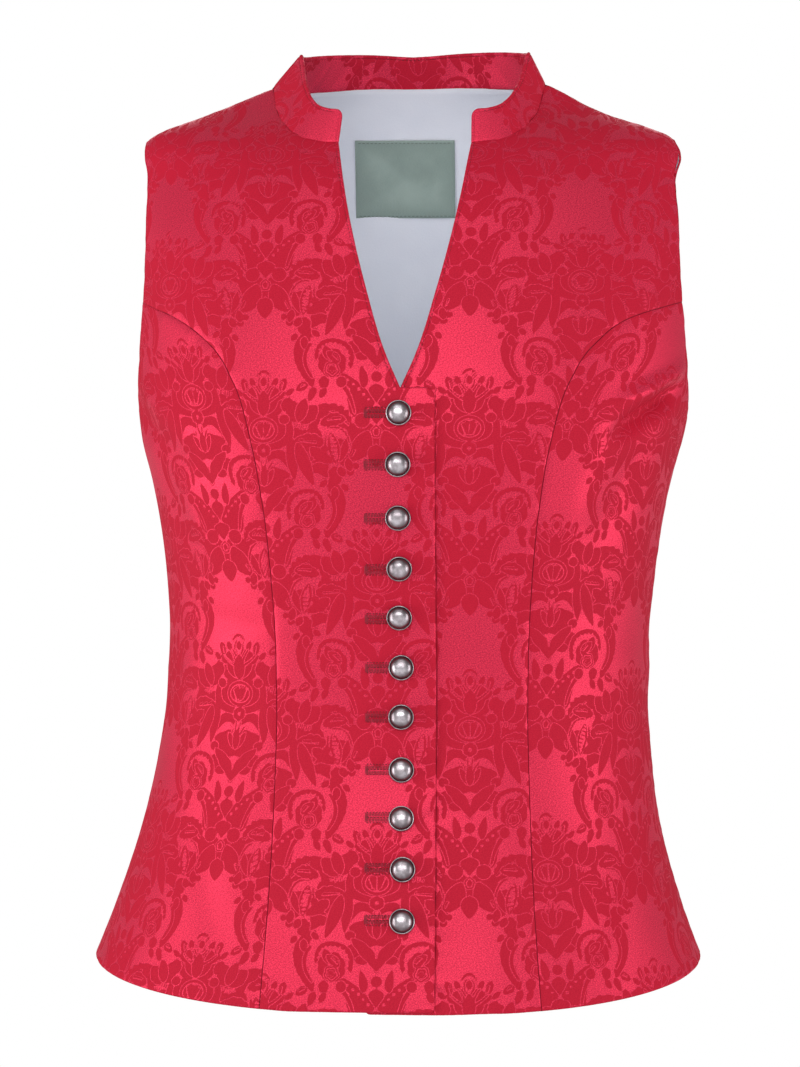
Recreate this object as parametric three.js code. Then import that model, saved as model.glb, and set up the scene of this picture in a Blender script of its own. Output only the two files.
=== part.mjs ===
// A dirndl bodice: a sleeveless, princess-seamed bodice with a stand collar, a V neck and a
// row of domed buttons, filled out as when it is worn.
//
// Millimetres, +Z up. The front faces -Y and the wearer's left is +X. The origin is midway
// between the two shoulder seams, at the height of their middles, where the wearer holds it up.
//
// The cloth is a set of walls on one smooth body form. The form is a stack of horizontal
// sections, each of them a rounded oval whose front and back halves differ. Every pattern
// piece is a patch of that form between its own seams, and its wall goes inwards from it.
import * as THREE from 'three';

// ---------------------------------------------------------------- driving dimensions
const PANEL_WALL = 1.5;         // figured satin with its interlining
const LINING_WALL = 1.0;
const COLLAR_WALL = 1.0;        // one layer of the collar
const LABEL_WALL = 1.0;
const SEAM_GAP = 0.3;           // between two pieces that meet
const LAP_GAP = 0.8;            // between the button stands, whose facets differ
const COLLAR_GAP = 0.6;         // above the neck seam, for the same reason
const LAP = 20;                 // button stand past the centre front, on either side
const LAP_CORNER = 5;           // rounded corners of the button stand
const LAP_FOOT = 2;             // and how far the lower one is cut up at its very edge
const LAP_FADE = 40;            // where the stands' sharing of their thickness dies out sideways
const LAP_FADE_UP = 60;         // and upwards
const V_POINT_Z = -168;         // lowest point of the neck opening
const HEM_SIDE_Z = -502;        // hem height at the side seams
const HEM_FRONT_DROP = 26;      // how far the hem dips at the centre front
const HEM_BACK_DROP = 16;
const HEM_CURVE = 1.3;          // 1 dips evenly from side to centre, more keeps the sides level
const HEM_TILT = 1.2;           // it hangs this much lower at the wearer's left than midway
const UNDERLAP_DROP = 0.9;      // the left front hangs this much lower under the right one
const NECK_POINT = { x: 81.6, z: 16.2 };
const SHOULDER_TIP = { x: 159.6, z: -15.6 };
const UNDERARM_Z = -184;
const ARMHOLE = { scoopFront: 44, scoopBack: 46, lowFront: 0.25, lowBack: 0.1 };
const FRONT_SEAM_START = 0.56;  // where the princess seam leaves the armhole, 0 tip, 1 underarm
const BACK_SEAM_START = 0.48;

const BUTTON_PITCH = 29.3;
const BUTTON_RADIUS = 7.4;
const FIRST_BUTTON_Z = -183;
const LABEL = { width: 62, height: 47.5, top: -9, aside: -6, columns: 4, rows: 3 };
const LABEL_GAP = 0.6;          // clear of the lining's facets
const BUTTON_GAP = 0.5;         // clear of the button stand's facets

// The body form: half width, depth in front and behind, how square each half of the oval is
// (2 is an ellipse), and how far the sides hang over to the wearer's left.
const FORM = [
  { z: 24, half: 62.5, front: 5, back: 67.5, squareFront: 1.9, squareBack: 2.0, aside: 2.5 },
  { z: 16, half: 82, front: 13, back: 71, squareFront: 1.9, squareBack: 2.0, aside: 2.5 },
  { z: 0, half: 117.2, front: 31.5, back: 79, squareFront: 1.9, squareBack: 2.0, aside: -1.5 },
  { z: -14, half: 154.6, front: 50, back: 85.5, squareFront: 1.9, squareBack: 2.0, aside: 0.5 },
  { z: -20, half: 164, front: 58, back: 88, squareFront: 1.92, squareBack: 2.0, aside: 3.2 },
  { z: -40, half: 167.5, front: 77, back: 94.5, squareFront: 2.05, squareBack: 2.05, aside: 3.7 },
  { z: -60, half: 168, front: 89, back: 99.5, squareFront: 2.2, squareBack: 2.1, aside: 3.8 },
  { z: -100, half: 168, front: 105.5, back: 106.5, squareFront: 2.4, squareBack: 2.25, aside: 3.9 },
  { z: -140, half: 167.2, front: 117, back: 109.5, squareFront: 2.55, squareBack: 2.3, aside: 3.9 },
  { z: -184, half: 163.6, front: 126, back: 107.5, squareFront: 2.6, squareBack: 2.35, aside: 3 },
  { z: -196, half: 161.4, front: 127, back: 106, squareFront: 2.6, squareBack: 2.35, aside: 2.4 },
  { z: -220, half: 155.1, front: 126, back: 101.8, squareFront: 2.55, squareBack: 2.3, aside: 2 },
  { z: -268, half: 147, front: 117.5, back: 91.5, squareFront: 2.4, squareBack: 2.2, aside: 1.5 },
  { z: -328, half: 143.7, front: 107.2, back: 83, squareFront: 2.27, squareBack: 2.15, aside: 0 },
  { z: -376, half: 146.7, front: 107, back: 85, squareFront: 2.25, squareBack: 2.15, aside: -2 },
  { z: -424, half: 154.8, front: 113, back: 96, squareFront: 2.25, squareBack: 2.2, aside: -4.5 },
  { z: -472, half: 169.2, front: 121, back: 111, squareFront: 2.3, squareBack: 2.25, aside: -6 },
  { z: -530, half: 192, front: 131, back: 124, squareFront: 2.3, squareBack: 2.3, aside: -7 },
];

// Half width of the neck opening from its point up to the collar.
const V_EDGE = [
  { z: -168, x: 0 },
  { z: -148, x: 8.7 },
  { z: -111, x: 20.1 },
  { z: -59, x: 32.7 },
  { z: -21, x: 39.2 },
];
// The neck seam of the front, from the notch of the collar out to the shoulder seam.
const NECK_FRONT = [
  { x: 39.2, z: -21 },
  { x: 52, z: -20 },
  { x: 63, z: -16.5 },
  { x: 72.5, z: -8.5 },
  { x: 79, z: 4 },
  { x: 81.6, z: 16.2 },
];
const NECK_BACK_RISE = 5;       // the neck seam is this much higher at the centre back

// Princess seams below the armhole: distance from the centre front or centre back.
const FRONT_SEAM = [
  { z: -126, x: 134 },
  { z: -142, x: 112.5 },
  { z: -165, x: 97.5 },
  { z: -197, x: 87.5 },
  { z: -235, x: 80.5 },
  { z: -285, x: 75.5 },
  { z: -345, x: 73.2 },
  { z: -410, x: 74.5 },
  { z: -470, x: 77.3 },
  { z: -530, x: 81.8 },
];
const BACK_SEAM = [
  { z: -108, x: 128 },
  { z: -130, x: 104 },
  { z: -165, x: 80 },
  { z: -215, x: 61 },
  { z: -275, x: 49.5 },
  { z: -335, x: 45 },
  { z: -385, x: 46.5 },
  { z: -450, x: 53.5 },
  { z: -530, x: 63 },
];

// The stand collar: how far it rises and leans in, from its front notch to the centre back.
const COLLAR = [
  { turn: 34, rise: 19.5, lean: 6 },
  { turn: 52, rise: 20.5, lean: 10.5 },
  { turn: 70, rise: 20.5, lean: 13.5 },
  { turn: 95, rise: 20.5, lean: 13.5 },
  { turn: 125, rise: 21, lean: 9.5 },
  { turn: 180, rise: 21.5, lean: 5.5 },
];
const COLLAR_ROWS = [
  { up: 0, notch: 0 },
  { up: 0.42, notch: 0 },
  { up: 0.8, notch: 0.9 },
  { up: 1, notch: 4.5 },
];

// The buttons hang a little unevenly in their holes.
const BUTTON_HANG = [
  { down: 0, aside: -0.6 },
  { down: 0.2, aside: -1.2 },
  { down: 1.5, aside: -1.2 },
  { down: 1.7, aside: -0.6 },
  { down: 0.7, aside: -0.9 },
  { down: 0.3, aside: 0 },
  { down: -0.1, aside: 0 },
  { down: 1.2, aside: 0.3 },
  { down: -0.3, aside: 0.3 },
  { down: -0.2, aside: 1.2 },
  { down: 0, aside: 1.2 },
];

// ---------------------------------------------------------------- materials
const cloth = (colour) => new THREE.MeshStandardMaterial({ color: colour, roughness: 0.45, metalness: 0 });
const satin = () => cloth(0xd8304a);
const liningCloth = () => cloth(0xc3c8d4);
const labelCloth = () => cloth(0x84958a);
const silver = () => new THREE.MeshStandardMaterial({ color: 0x9c949a, roughness: 0.35, metalness: 1 });

// ---------------------------------------------------------------- curves and the body form
// Reads a column of a table at a place between its rows, on a smooth curve through them.
function read(table, key, column, at) {
  const last = table.length - 1;
  const rising = table[last][key] > table[0][key];
  let i = 0;
  while (i < last - 1 && (rising ? at > table[i + 1][key] : at < table[i + 1][key])) i += 1;
  const step = (k) => table[k + 1][key] - table[k][key];
  const slope = (k) => (table[k + 1][column] - table[k][column]) / step(k);
  const tangent = (k) => {
    if (k === 0) return slope(0);
    if (k === last) return slope(last - 1);
    return (slope(k - 1) * step(k) + slope(k) * step(k - 1)) / (step(k - 1) + step(k));
  };
  const h = step(i);
  const t = (at - table[i][key]) / h;
  const a = table[i][column];
  const b = table[i + 1][column];
  const bend = t * t * (3 - 2 * t);
  return a + (b - a) * bend + h * t * (1 - t) * ((1 - t) * tangent(i) - t * tangent(i + 1));
}

const v3 = (x, y, z) => new THREE.Vector3(x, y, z);
const clamp01 = (t) => Math.min(1, Math.max(0, t));
const ease = (t) => clamp01(t) ** 2 * (3 - 2 * clamp01(t));
const formAt = (column, z) => read(FORM, 'z', column, z);
const halfAt = (z, side) => formAt('half', z) + side * formAt('aside', z);

// How far out a point is, as a ratio: 1 on the form, less inside it.
function outness(p) {
  const across = Math.abs(p.x) / halfAt(p.z, Math.sign(p.x));
  const inFront = p.y < 0;
  const deep = Math.abs(p.y) / formAt(inFront ? 'front' : 'back', p.z);
  const square = formAt(inFront ? 'squareFront' : 'squareBack', p.z);
  return (across ** square + deep ** square) ** (1 / square);
}

function gradient(p) {
  const h = 0.02;
  const along = (dx, dy, dz) =>
    (outness(v3(p.x + dx, p.y + dy, p.z + dz)) - outness(v3(p.x - dx, p.y - dy, p.z - dz))) / (2 * h);
  return v3(along(h, 0, 0), along(0, h, 0), along(0, 0, h));
}
const outward = (p) => gradient(p).normalize();

const SETTLE_STEPS = 8;         // enough for a place to stop moving

// The nearest place on the form, by a few steps down the gradient.
function settle(p) {
  const q = p.clone();
  for (let i = 0; i < SETTLE_STEPS; i += 1) {
    const g = gradient(q);
    q.addScaledVector(g, (1 - outness(q)) / g.lengthSq());
  }
  return q;
}

// The depth of the form in front or behind at a place seen from the front.
function onFront(x, z) {
  const square = formAt('squareFront', z);
  const across = Math.min(1, Math.abs(x) / halfAt(z, Math.sign(x)));
  return v3(x, -formAt('front', z) * (1 - across ** square) ** (1 / square), z);
}
function onBack(x, z) {
  const square = formAt('squareBack', z);
  const across = Math.min(1, Math.abs(x) / halfAt(z, Math.sign(x)));
  return v3(x, formAt('back', z) * (1 - across ** square) ** (1 / square), z);
}
function onSide(y, z, side) {
  const square = formAt(y < 0 ? 'squareFront' : 'squareBack', z);
  const deep = Math.min(1, Math.abs(y) / formAt(y < 0 ? 'front' : 'back', z));
  return v3(side * halfAt(z, side) * (1 - deep ** square) ** (1 / square), y, z);
}

// Points at equal steps along a fine line.
function even(line, steps) {
  const reach = [0];
  for (let i = 1; i < line.length; i += 1) reach.push(reach[i - 1] + line[i].distanceTo(line[i - 1]));
  const points = [];
  let i = 0;
  for (let k = 0; k <= steps; k += 1) {
    const at = (reach[reach.length - 1] * k) / steps;
    while (i < line.length - 2 && reach[i + 1] < at) i += 1;
    const t = (at - reach[i]) / (reach[i + 1] - reach[i]);
    points.push(line[i].clone().lerp(line[i + 1], t));
  }
  return points;
}
const trace = (curve, from, to, count = 160) =>
  Array.from({ length: count + 1 }, (_, i) => curve(from + ((to - from) * i) / count));

// ---------------------------------------------------------------- edges and seams
// Hem height at a place: lowest at the centre front and the centre back.
function hemZ(p) {
  const level = HEM_SIDE_Z;
  const forward = clamp01(Math.abs(p.y) / formAt(p.y < 0 ? 'front' : 'back', level));
  const tilt = (HEM_TILT * p.x) / formAt('half', level);
  return level - tilt - (p.y < 0 ? HEM_FRONT_DROP : HEM_BACK_DROP) * forward ** HEM_CURVE;
}
function onHem(x, place) {
  let p = place(x, HEM_SIDE_Z);
  for (let i = 0; i < SETTLE_STEPS; i += 1) p = place(x, hemZ(p));
  return p;
}

// The armhole as an egg seen from the side; turn goes from 0 at the shoulder tip to 1 underarm.
function armhole(turn, side, front) {
  const angle = Math.PI * turn;
  const middle = (SHOULDER_TIP.z + UNDERARM_Z) / 2;
  const radius = (SHOULDER_TIP.z - UNDERARM_Z) / 2;
  const scoop = front ? ARMHOLE.scoopFront : ARMHOLE.scoopBack;
  const low = front ? ARMHOLE.lowFront : ARMHOLE.lowBack;
  const y = scoop * Math.sin(angle) * (1 - low * Math.cos(angle));
  return onSide(front ? -y : y, middle + radius * Math.cos(angle), side);
}

// A princess seam from the hem up to the armhole, as a fine line on the form.
function princess(side, front) {
  const table = front ? FRONT_SEAM : BACK_SEAM;
  const place = front ? onFront : onBack;
  const start = armhole(front ? FRONT_SEAM_START : BACK_SEAM_START, side, front);
  const rows = [{ z: start.z, x: Math.abs(start.x) }, ...table];
  const at = (z) => place(side * read(rows, 'z', 'x', z), z);
  let foot = at(HEM_SIDE_Z);
  for (let i = 0; i < SETTLE_STEPS; i += 1) foot = at(hemZ(foot));
  return trace(at, foot.z, start.z, 400);
}
const sideSeam = (side) =>
  trace((z) => onSide(0, z, side), hemZ(onSide(0, HEM_SIDE_Z, side)), UNDERARM_Z);
const neckFront = (side) =>
  trace((x) => onFront(side * x, read(NECK_FRONT, 'x', 'z', x)), NECK_FRONT[0].x, NECK_POINT.x);
const neckBack = (side) =>
  trace((turn) => {
    const x = side * NECK_POINT.x * Math.cos(turn);
    const z = NECK_POINT.z + NECK_BACK_RISE * Math.sin(turn) ** 2;
    return settle(v3(x, formAt('back', z) * Math.sin(turn), z));
  }, 0, Math.PI / 2);
const shoulder = (side) =>
  trace((t) => settle(v3(
    side * (NECK_POINT.x + (SHOULDER_TIP.x - NECK_POINT.x) * t),
    0,
    NECK_POINT.z + (SHOULDER_TIP.z - NECK_POINT.z) * t,
  )), 0, 1, 40);
const vEdge = (side) =>
  trace((z) => onFront(side * read(V_EDGE, 'z', 'x', z), z), V_POINT_Z, NECK_FRONT[0].z);

// A place on the form at a turn about its axis: 0 is the centre front, 180 the centre back.
function onForm(turn, side, z) {
  const angle = THREE.MathUtils.degToRad(turn);
  const p = v3(side * Math.sin(angle), -Math.cos(angle), z);
  const scale = 1 / outness(p);
  return v3(p.x * scale, p.y * scale, z);
}
const turnOf = (p) => THREE.MathUtils.radToDeg(Math.atan2(Math.abs(p.x), -p.y));
function hemLine(side, fromTurn, toTurn) {
  return trace((turn) => {
    let p = onForm(turn, side, HEM_SIDE_Z);
    for (let i = 0; i < SETTLE_STEPS; i += 1) p = onForm(turn, side, hemZ(p));
    return p;
  }, fromTurn, toTurn);
}

// Moves a line sideways on the form, towards its own piece, by half of the seam gap.
function beside(line, inside) {
  const sideways = line.map((p, i) => {
    const before = line[Math.max(0, i - 1)];
    const after = line[Math.min(line.length - 1, i + 1)];
    return outward(p).cross(after.clone().sub(before)).normalize();
  });
  const sign = Math.sign(sideways[0].dot(inside.clone().sub(line[0])));
  return line.map((p, i) => p.clone().addScaledVector(sideways[i], (sign * SEAM_GAP) / 2));
}

// ---------------------------------------------------------------- patches and walls
// A grid of points between four lines. Left and right run upwards and own the corners.
function patch(bottom, right, top, left) {
  const rows = left.length - 1;
  const columns = bottom.length - 1;
  const grid = [];
  for (let j = 0; j <= rows; j += 1) {
    const v = j / rows;
    grid.push([]);
    for (let i = 0; i <= columns; i += 1) {
      const u = i / columns;
      if (i === 0) grid[j].push(left[j]);
      else if (i === columns) grid[j].push(right[j]);
      else if (j === 0) grid[j].push(bottom[i]);
      else if (j === rows) grid[j].push(top[i]);
      else {
        const p = v3(0, 0, 0);
        p.addScaledVector(bottom[i], 1 - v).addScaledVector(top[i], v);
        p.addScaledVector(left[j], 1 - u).addScaledVector(right[j], u);
        p.addScaledVector(left[0], -(1 - u) * (1 - v)).addScaledVector(right[0], -u * (1 - v));
        p.addScaledVector(left[rows], -(1 - u) * v).addScaledVector(right[rows], -u * v);
        grid[j].push(settle(p));
      }
    }
  }
  return grid;
}

// A closed wall between an outer and an inner copy of some grids. Each grid point gives its
// outward direction through facing(); outer and inner say how far along it each copy lies.
function wall(grids, facing, outer, inner) {
  const points = [];
  const index = new Map();
  const key = (p) => [p.x, p.y, p.z].map((c) => Math.round(c * 1000)).join(' ');
  const find = (p) => {
    if (!index.has(key(p))) {
      index.set(key(p), points.length);
      points.push(p);
    }
    return index.get(key(p));
  };
  const triangles = [];
  grids.forEach((grid) => {
    const sample = grid[0][0];
    const turned = grid[0][1].clone().sub(sample).cross(grid[1][0].clone().sub(sample));
    const flip = turned.dot(facing(sample)) < 0;
    for (let j = 0; j < grid.length - 1; j += 1) {
      for (let i = 0; i < grid[j].length - 1; i += 1) {
        const [a, b, c, d] = [grid[j][i], grid[j][i + 1], grid[j + 1][i + 1], grid[j + 1][i]].map(find);
        triangles.push(...(flip ? [[a, c, b], [a, d, c]] : [[a, b, c], [a, c, d]]));
      }
    }
  });
  const edges = new Map();
  triangles.forEach(([a, b, c]) => {
    [[a, b], [b, c], [c, a]].forEach(([p, q]) => edges.set(`${p} ${q}`, [p, q]));
  });
  const rim = [...edges.values()].filter(([p, q]) => !edges.has(`${q} ${p}`));
  const count = points.length;
  const faces = [
    ...triangles,
    ...triangles.map(([a, b, c]) => [a + count, c + count, b + count]),
    ...rim.flatMap(([p, q]) => [[q, p, p + count], [q, p + count, q + count]]),
  ];
  const position = [outer, inner].flatMap((depth) =>
    points.flatMap((p) => p.clone().addScaledVector(facing(p), depth(p)).toArray()));
  const geometry = new THREE.BufferGeometry();
  geometry.setAttribute('position', new THREE.Float32BufferAttribute(position, 3));
  geometry.setIndex(faces.flat());
  geometry.computeVertexNormals();
  return geometry;
}

const bodice = new THREE.Group();
function add(name, geometry, material) {
  const mesh = new THREE.Mesh(geometry, material);
  mesh.name = name;
  bodice.add(mesh);
  return mesh;
}

// ---------------------------------------------------------------- steps along the pieces
const LOW_ROWS = 16;            // hem to the point of the V
const HIGH_ROWS = 5;            // point of the V to where the princess seam ends
const ARM_ROWS = 6;             // from there up the armhole to the shoulder tip
const BACK_ARM_ROWS = 5;
const FRONT_COLUMNS = 5;        // button stand to princess seam
const SIDE_COLUMNS = 6;
const NECK_STEPS = 4;           // each quarter of the neck seam
const SHOULDER_STEPS = 3;
const BACK_COLUMNS = 2 * (NECK_STEPS + SHOULDER_STEPS);
const SIDE_ROWS = LOW_ROWS + HIGH_ROWS;
const STAND_COLUMNS = [-LAP, -LAP + LAP_CORNER, 0, LAP - LAP_CORNER, LAP];

const reversed = (line) => [...line].reverse();
const joined = (first, ...others) => others.reduce((line, next) => [...line, ...next.slice(1)], first);

// The front princess seam in its two stretches, below and above the point of the V.
function frontSeam(side) {
  const line = princess(side, true);
  const split = line.findIndex((p) => p.z > V_POINT_Z);
  const middle = line[split];
  return joined(
    even(line.slice(0, split + 1), LOW_ROWS),
    even([middle, ...line.slice(split + 1)], HIGH_ROWS),
  );
}
const backSeam = (side) => even(princess(side, false), SIDE_ROWS);
const armLine = (side, front, from, to, steps) =>
  even(trace((turn) => armhole(turn, side, front), from, to), steps);

// ---------------------------------------------------------------- centre fronts
// The button stands share the thickness of the lap between them: the right one rises by half
// of it and the left one sinks, fading out away from the centre front and above the V.
function lapShift(p, side) {
  const lift = (PANEL_WALL + LAP_GAP) / 2;
  const across = 1 - ease((Math.abs(p.x) - LAP - LAP_FOOT) / LAP_FADE);
  const above = 1 - ease((p.z - V_POINT_Z) / LAP_FADE_UP);
  return -side * lift * across * above;
}

function centreFront(name, side) {
  const inside = onFront(side * 50, -300);
  const seam = beside(frontSeam(side), inside);
  const drop = (x) => (side > 0 ? UNDERLAP_DROP * (1 - ease((Math.abs(x) - LAP) / LAP_FADE)) : 0);
  const lowered = (p) => onFront(p.x, p.z - drop(p.x));

  // The button stand, with its free corners cut.
  const stand = [];
  for (let j = 0; j <= LOW_ROWS; j += 1) {
    stand.push(STAND_COLUMNS.map((x) => {
      const foot = onHem(x, onFront).z - drop(x);
      const free = x === -side * LAP;
      const low = foot + (free ? LAP_FOOT : 0);
      const high = V_POINT_Z - (free ? LAP_CORNER : 0);
      return onFront(x, low + ((high - low) * j) / LOW_ROWS);
    }));
  }
  const ownColumns = side > 0 ? [4, 3, 2] : [0, 1, 2];
  const left = stand.map((row) => row[ownColumns[0]]);

  // From the button stand to the princess seam, below the V.
  const lowSeam = seam.slice(0, LOW_ROWS + 1);
  const foot = hemLine(side, turnOf(onHem(LAP, onFront)), turnOf(lowSeam[0]));
  const hem = even(foot, FRONT_COLUMNS).map(lowered);
  const level = trace((x) => onFront(side * x, V_POINT_Z), LAP, Math.abs(lowSeam[LOW_ROWS].x), FRONT_COLUMNS);
  const low = patch(hem, lowSeam, level, left);

  // From there up to the collar and the shoulder.
  const top = beside(
    joined(even(neckFront(side), NECK_STEPS), even(shoulder(side), SHOULDER_STEPS)),
    inside,
  );
  const arm = armLine(side, true, FRONT_SEAM_START, 0, ARM_ROWS);
  const armEdge = [seam[seam.length - 1], ...arm.slice(1, -1), top[top.length - 1]];
  const rightSide = joined(seam.slice(LOW_ROWS), armEdge);
  const edge = even(vEdge(side), HIGH_ROWS + ARM_ROWS);
  const leftSide = [stand[LOW_ROWS][2], ...edge.slice(1, -1), top[0]];
  const base = [...ownColumns.slice(1).reverse().map((i) => stand[LOW_ROWS][i]), ...low[LOW_ROWS]];
  const high = patch(base, rightSide, top, leftSide);

  const shift = (p) => lapShift(p, side);
  add(name, wall([stand, low, high], outward, shift, (p) => shift(p) - PANEL_WALL), satin());
}
centreFront('centre_front_right', -1);
centreFront('centre_front_left', 1);

// ---------------------------------------------------------------- side fronts and side backs
const sideLine = (side, inside) => {
  const line = even(sideSeam(side), SIDE_ROWS);
  return inside ? beside(line, inside) : line;
};

function sideFront(name, side) {
  const inside = onForm(60, side, -330);
  const seam = beside(frontSeam(side), inside);
  const edge = sideLine(side, inside);
  const hem = even(hemLine(side, turnOf(seam[0]), 90), SIDE_COLUMNS);
  const top = armLine(side, true, FRONT_SEAM_START, 1, SIDE_COLUMNS);
  add(name, wall([patch(hem, edge, top, seam)], outward, () => 0, () => -PANEL_WALL), satin());
}
sideFront('side_front_right', -1);
sideFront('side_front_left', 1);

// The backs are also the pattern of their lining, which has no gaps at the princess seams.
function sideBackGrid(side, seams) {
  const inside = onForm(120, side, -330);
  const seam = seams ? beside(backSeam(side), inside) : backSeam(side);
  const edge = sideLine(side, inside);
  const hem = even(hemLine(side, 90, turnOf(seam[0])), SIDE_COLUMNS);
  const top = armLine(side, false, 1, BACK_SEAM_START, SIDE_COLUMNS);
  return patch(hem, seam, top, edge);
}
function centreBackGrid(seams) {
  const inside = onForm(180, 1, -200);
  const sides = [-1, 1].map((side) => {
    const seam = seams ? beside(backSeam(side), inside) : backSeam(side);
    return [...seam, ...armLine(side, false, BACK_SEAM_START, 0, BACK_ARM_ROWS).slice(1)];
  });
  const top = beside(joined(
    reversed(even(shoulder(-1), SHOULDER_STEPS)),
    even(neckBack(-1), NECK_STEPS),
    reversed(even(neckBack(1), NECK_STEPS)),
    even(shoulder(1), SHOULDER_STEPS),
  ), inside);
  sides[0][sides[0].length - 1] = top[0];
  sides[1][sides[1].length - 1] = top[top.length - 1];
  const feet = sides.map((line) => turnOf(line[0]));
  const hem = joined(
    even(hemLine(-1, feet[0], 180), BACK_COLUMNS / 2),
    reversed(even(hemLine(1, feet[1], 180), BACK_COLUMNS / 2)),
  );
  return patch(hem, sides[1], top, sides[0]);
}
const panel = (name, grid) => add(name, wall([grid], outward, () => 0, () => -PANEL_WALL), satin());
panel('side_back_right', sideBackGrid(-1, true));
panel('side_back_left', sideBackGrid(1, true));
panel('centre_back', centreBackGrid(true));

// ---------------------------------------------------------------- back lining and label
const LINING_OUT = -(PANEL_WALL + SEAM_GAP);
const LINING_IN = LINING_OUT - LINING_WALL;
const HEM_TURNING = 0.4;        // the lining stops this part of a row above the hem
function liningGrid(grid) {
  return grid.map((row, j) => (j > 0 ? row : row.map((p, i) => p.clone().lerp(grid[1][i], HEM_TURNING))));
}
add(
  'back_lining',
  wall(
    [sideBackGrid(-1, false), centreBackGrid(false), sideBackGrid(1, false)].map(liningGrid),
    outward,
    () => LINING_OUT,
    () => LINING_IN,
  ),
  liningCloth(),
);

const labelGrid = [];
for (let j = 0; j <= LABEL.rows; j += 1) {
  const z = LABEL.top - LABEL.height * (1 - j / LABEL.rows);
  labelGrid.push([]);
  for (let i = 0; i <= LABEL.columns; i += 1) {
    labelGrid[j].push(onBack(LABEL.aside + LABEL.width * (i / LABEL.columns - 0.5), z));
  }
}
add(
  'label',
  wall([labelGrid], outward, () => LINING_IN - LABEL_GAP, () => LINING_IN - LABEL_GAP - LABEL_WALL),
  labelCloth(),
);

// ---------------------------------------------------------------- stand collar
const COLLAR_ASIDE = 3.5;       // its sides lean this much towards the wearer's left
const NECK_AXIS_Y = 5;
const neckSeam = joined(
  even(neckFront(-1), NECK_STEPS),
  even(neckBack(-1), NECK_STEPS),
  reversed(even(neckBack(1), NECK_STEPS)),
  reversed(even(neckFront(1), NECK_STEPS)),
);
const neckAlong = neckSeam.map((p, i) =>
  neckSeam[Math.min(neckSeam.length - 1, i + 1)].clone().sub(neckSeam[Math.max(0, i - 1)]));
const collarUp = neckSeam.map((p, i) => {
  const turn = turnOf(p);
  const inwards = v3(-neckAlong[i].y, neckAlong[i].x, 0).normalize();
  if (inwards.dot(v3(p.x, p.y - NECK_AXIS_Y, 0)) > 0) inwards.negate();
  const aside = COLLAR_ASIDE * Math.sin(THREE.MathUtils.degToRad(turn)) ** 2;
  const lean = read(COLLAR, 'turn', 'lean', turn);
  return v3(aside, 0, read(COLLAR, 'turn', 'rise', turn)).addScaledVector(inwards, lean);
});
const collarGrid = COLLAR_ROWS.map((row) => {
  const line = neckSeam.map((p, i) => {
    const up = collarUp[i].clone();
    return p.clone().addScaledVector(up.clone().normalize(), COLLAR_GAP).addScaledVector(up, row.up);
  });
  const last = line.length - 1;
  const cut = (end, next) => line[end].lerp(line[next], row.notch / line[end].distanceTo(line[next]));
  cut(0, 1);
  cut(last, last - 1);
  return line;
});
const collarFacing = new Map();
collarGrid.forEach((line, j) => line.forEach((p, i) => {
  const out = neckAlong[i].clone().cross(collarUp[i]).normalize();
  if (out.dot(v3(p.x, p.y - NECK_AXIS_Y, 0)) < 0) out.negate();
  collarFacing.set(p, out);
}));
const facingOfCollar = (p) => collarFacing.get(p);
add('collar_outer', wall([collarGrid], facingOfCollar, () => 0, () => -COLLAR_WALL), satin());
add(
  'collar_inner',
  wall([collarGrid], facingOfCollar, () => -COLLAR_WALL - SEAM_GAP, () => -2 * COLLAR_WALL - SEAM_GAP),
  satin(),
);

// ---------------------------------------------------------------- buttons
const BUTTON_PROFILE = [
  { r: 0, h: 0 },
  { r: 0.84, h: 0 },
  { r: 0.97, h: 0.07 },
  { r: 1, h: 0.14 },
  { r: 0.96, h: 0.21 },
  { r: 0.88, h: 0.22 },
  { r: 0.8, h: 0.38 },
  { r: 0.6, h: 0.56 },
  { r: 0.33, h: 0.67 },
  { r: 0, h: 0.7 },
];
BUTTON_HANG.forEach((hang, i) => {
  const profile = BUTTON_PROFILE.map(({ r, h }) => new THREE.Vector2(r * BUTTON_RADIUS, h * BUTTON_RADIUS));
  const button = add(
    `button_${String(i + 1).padStart(2, '0')}`,
    new THREE.LatheGeometry(profile, 16),
    silver(),
  );
  const seat = onFront(hang.aside, FIRST_BUTTON_Z - i * BUTTON_PITCH - hang.down);
  const out = outward(seat);
  button.quaternion.setFromUnitVectors(v3(0, 1, 0), out);
  button.position.copy(seat).addScaledVector(out, lapShift(seat, -1) + BUTTON_GAP);
});

export default bodice;
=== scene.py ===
# %% [markdown]
# # A dirndl bodice in figured satin
#
# The bodice is modelled the way it is sewn: seven panels of damask meet at shaped seams, a
# stand collar runs round the neck, a pale lining and a woven label show inside the back, and
# eleven domed buttons close the front. Every panel is a patch of one smooth body form, so the
# first thing to build is that form, and the rest follows from it.

import math

import bmesh
import bpy
import numpy as np
from mathutils import Matrix, Vector, kdtree


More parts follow.
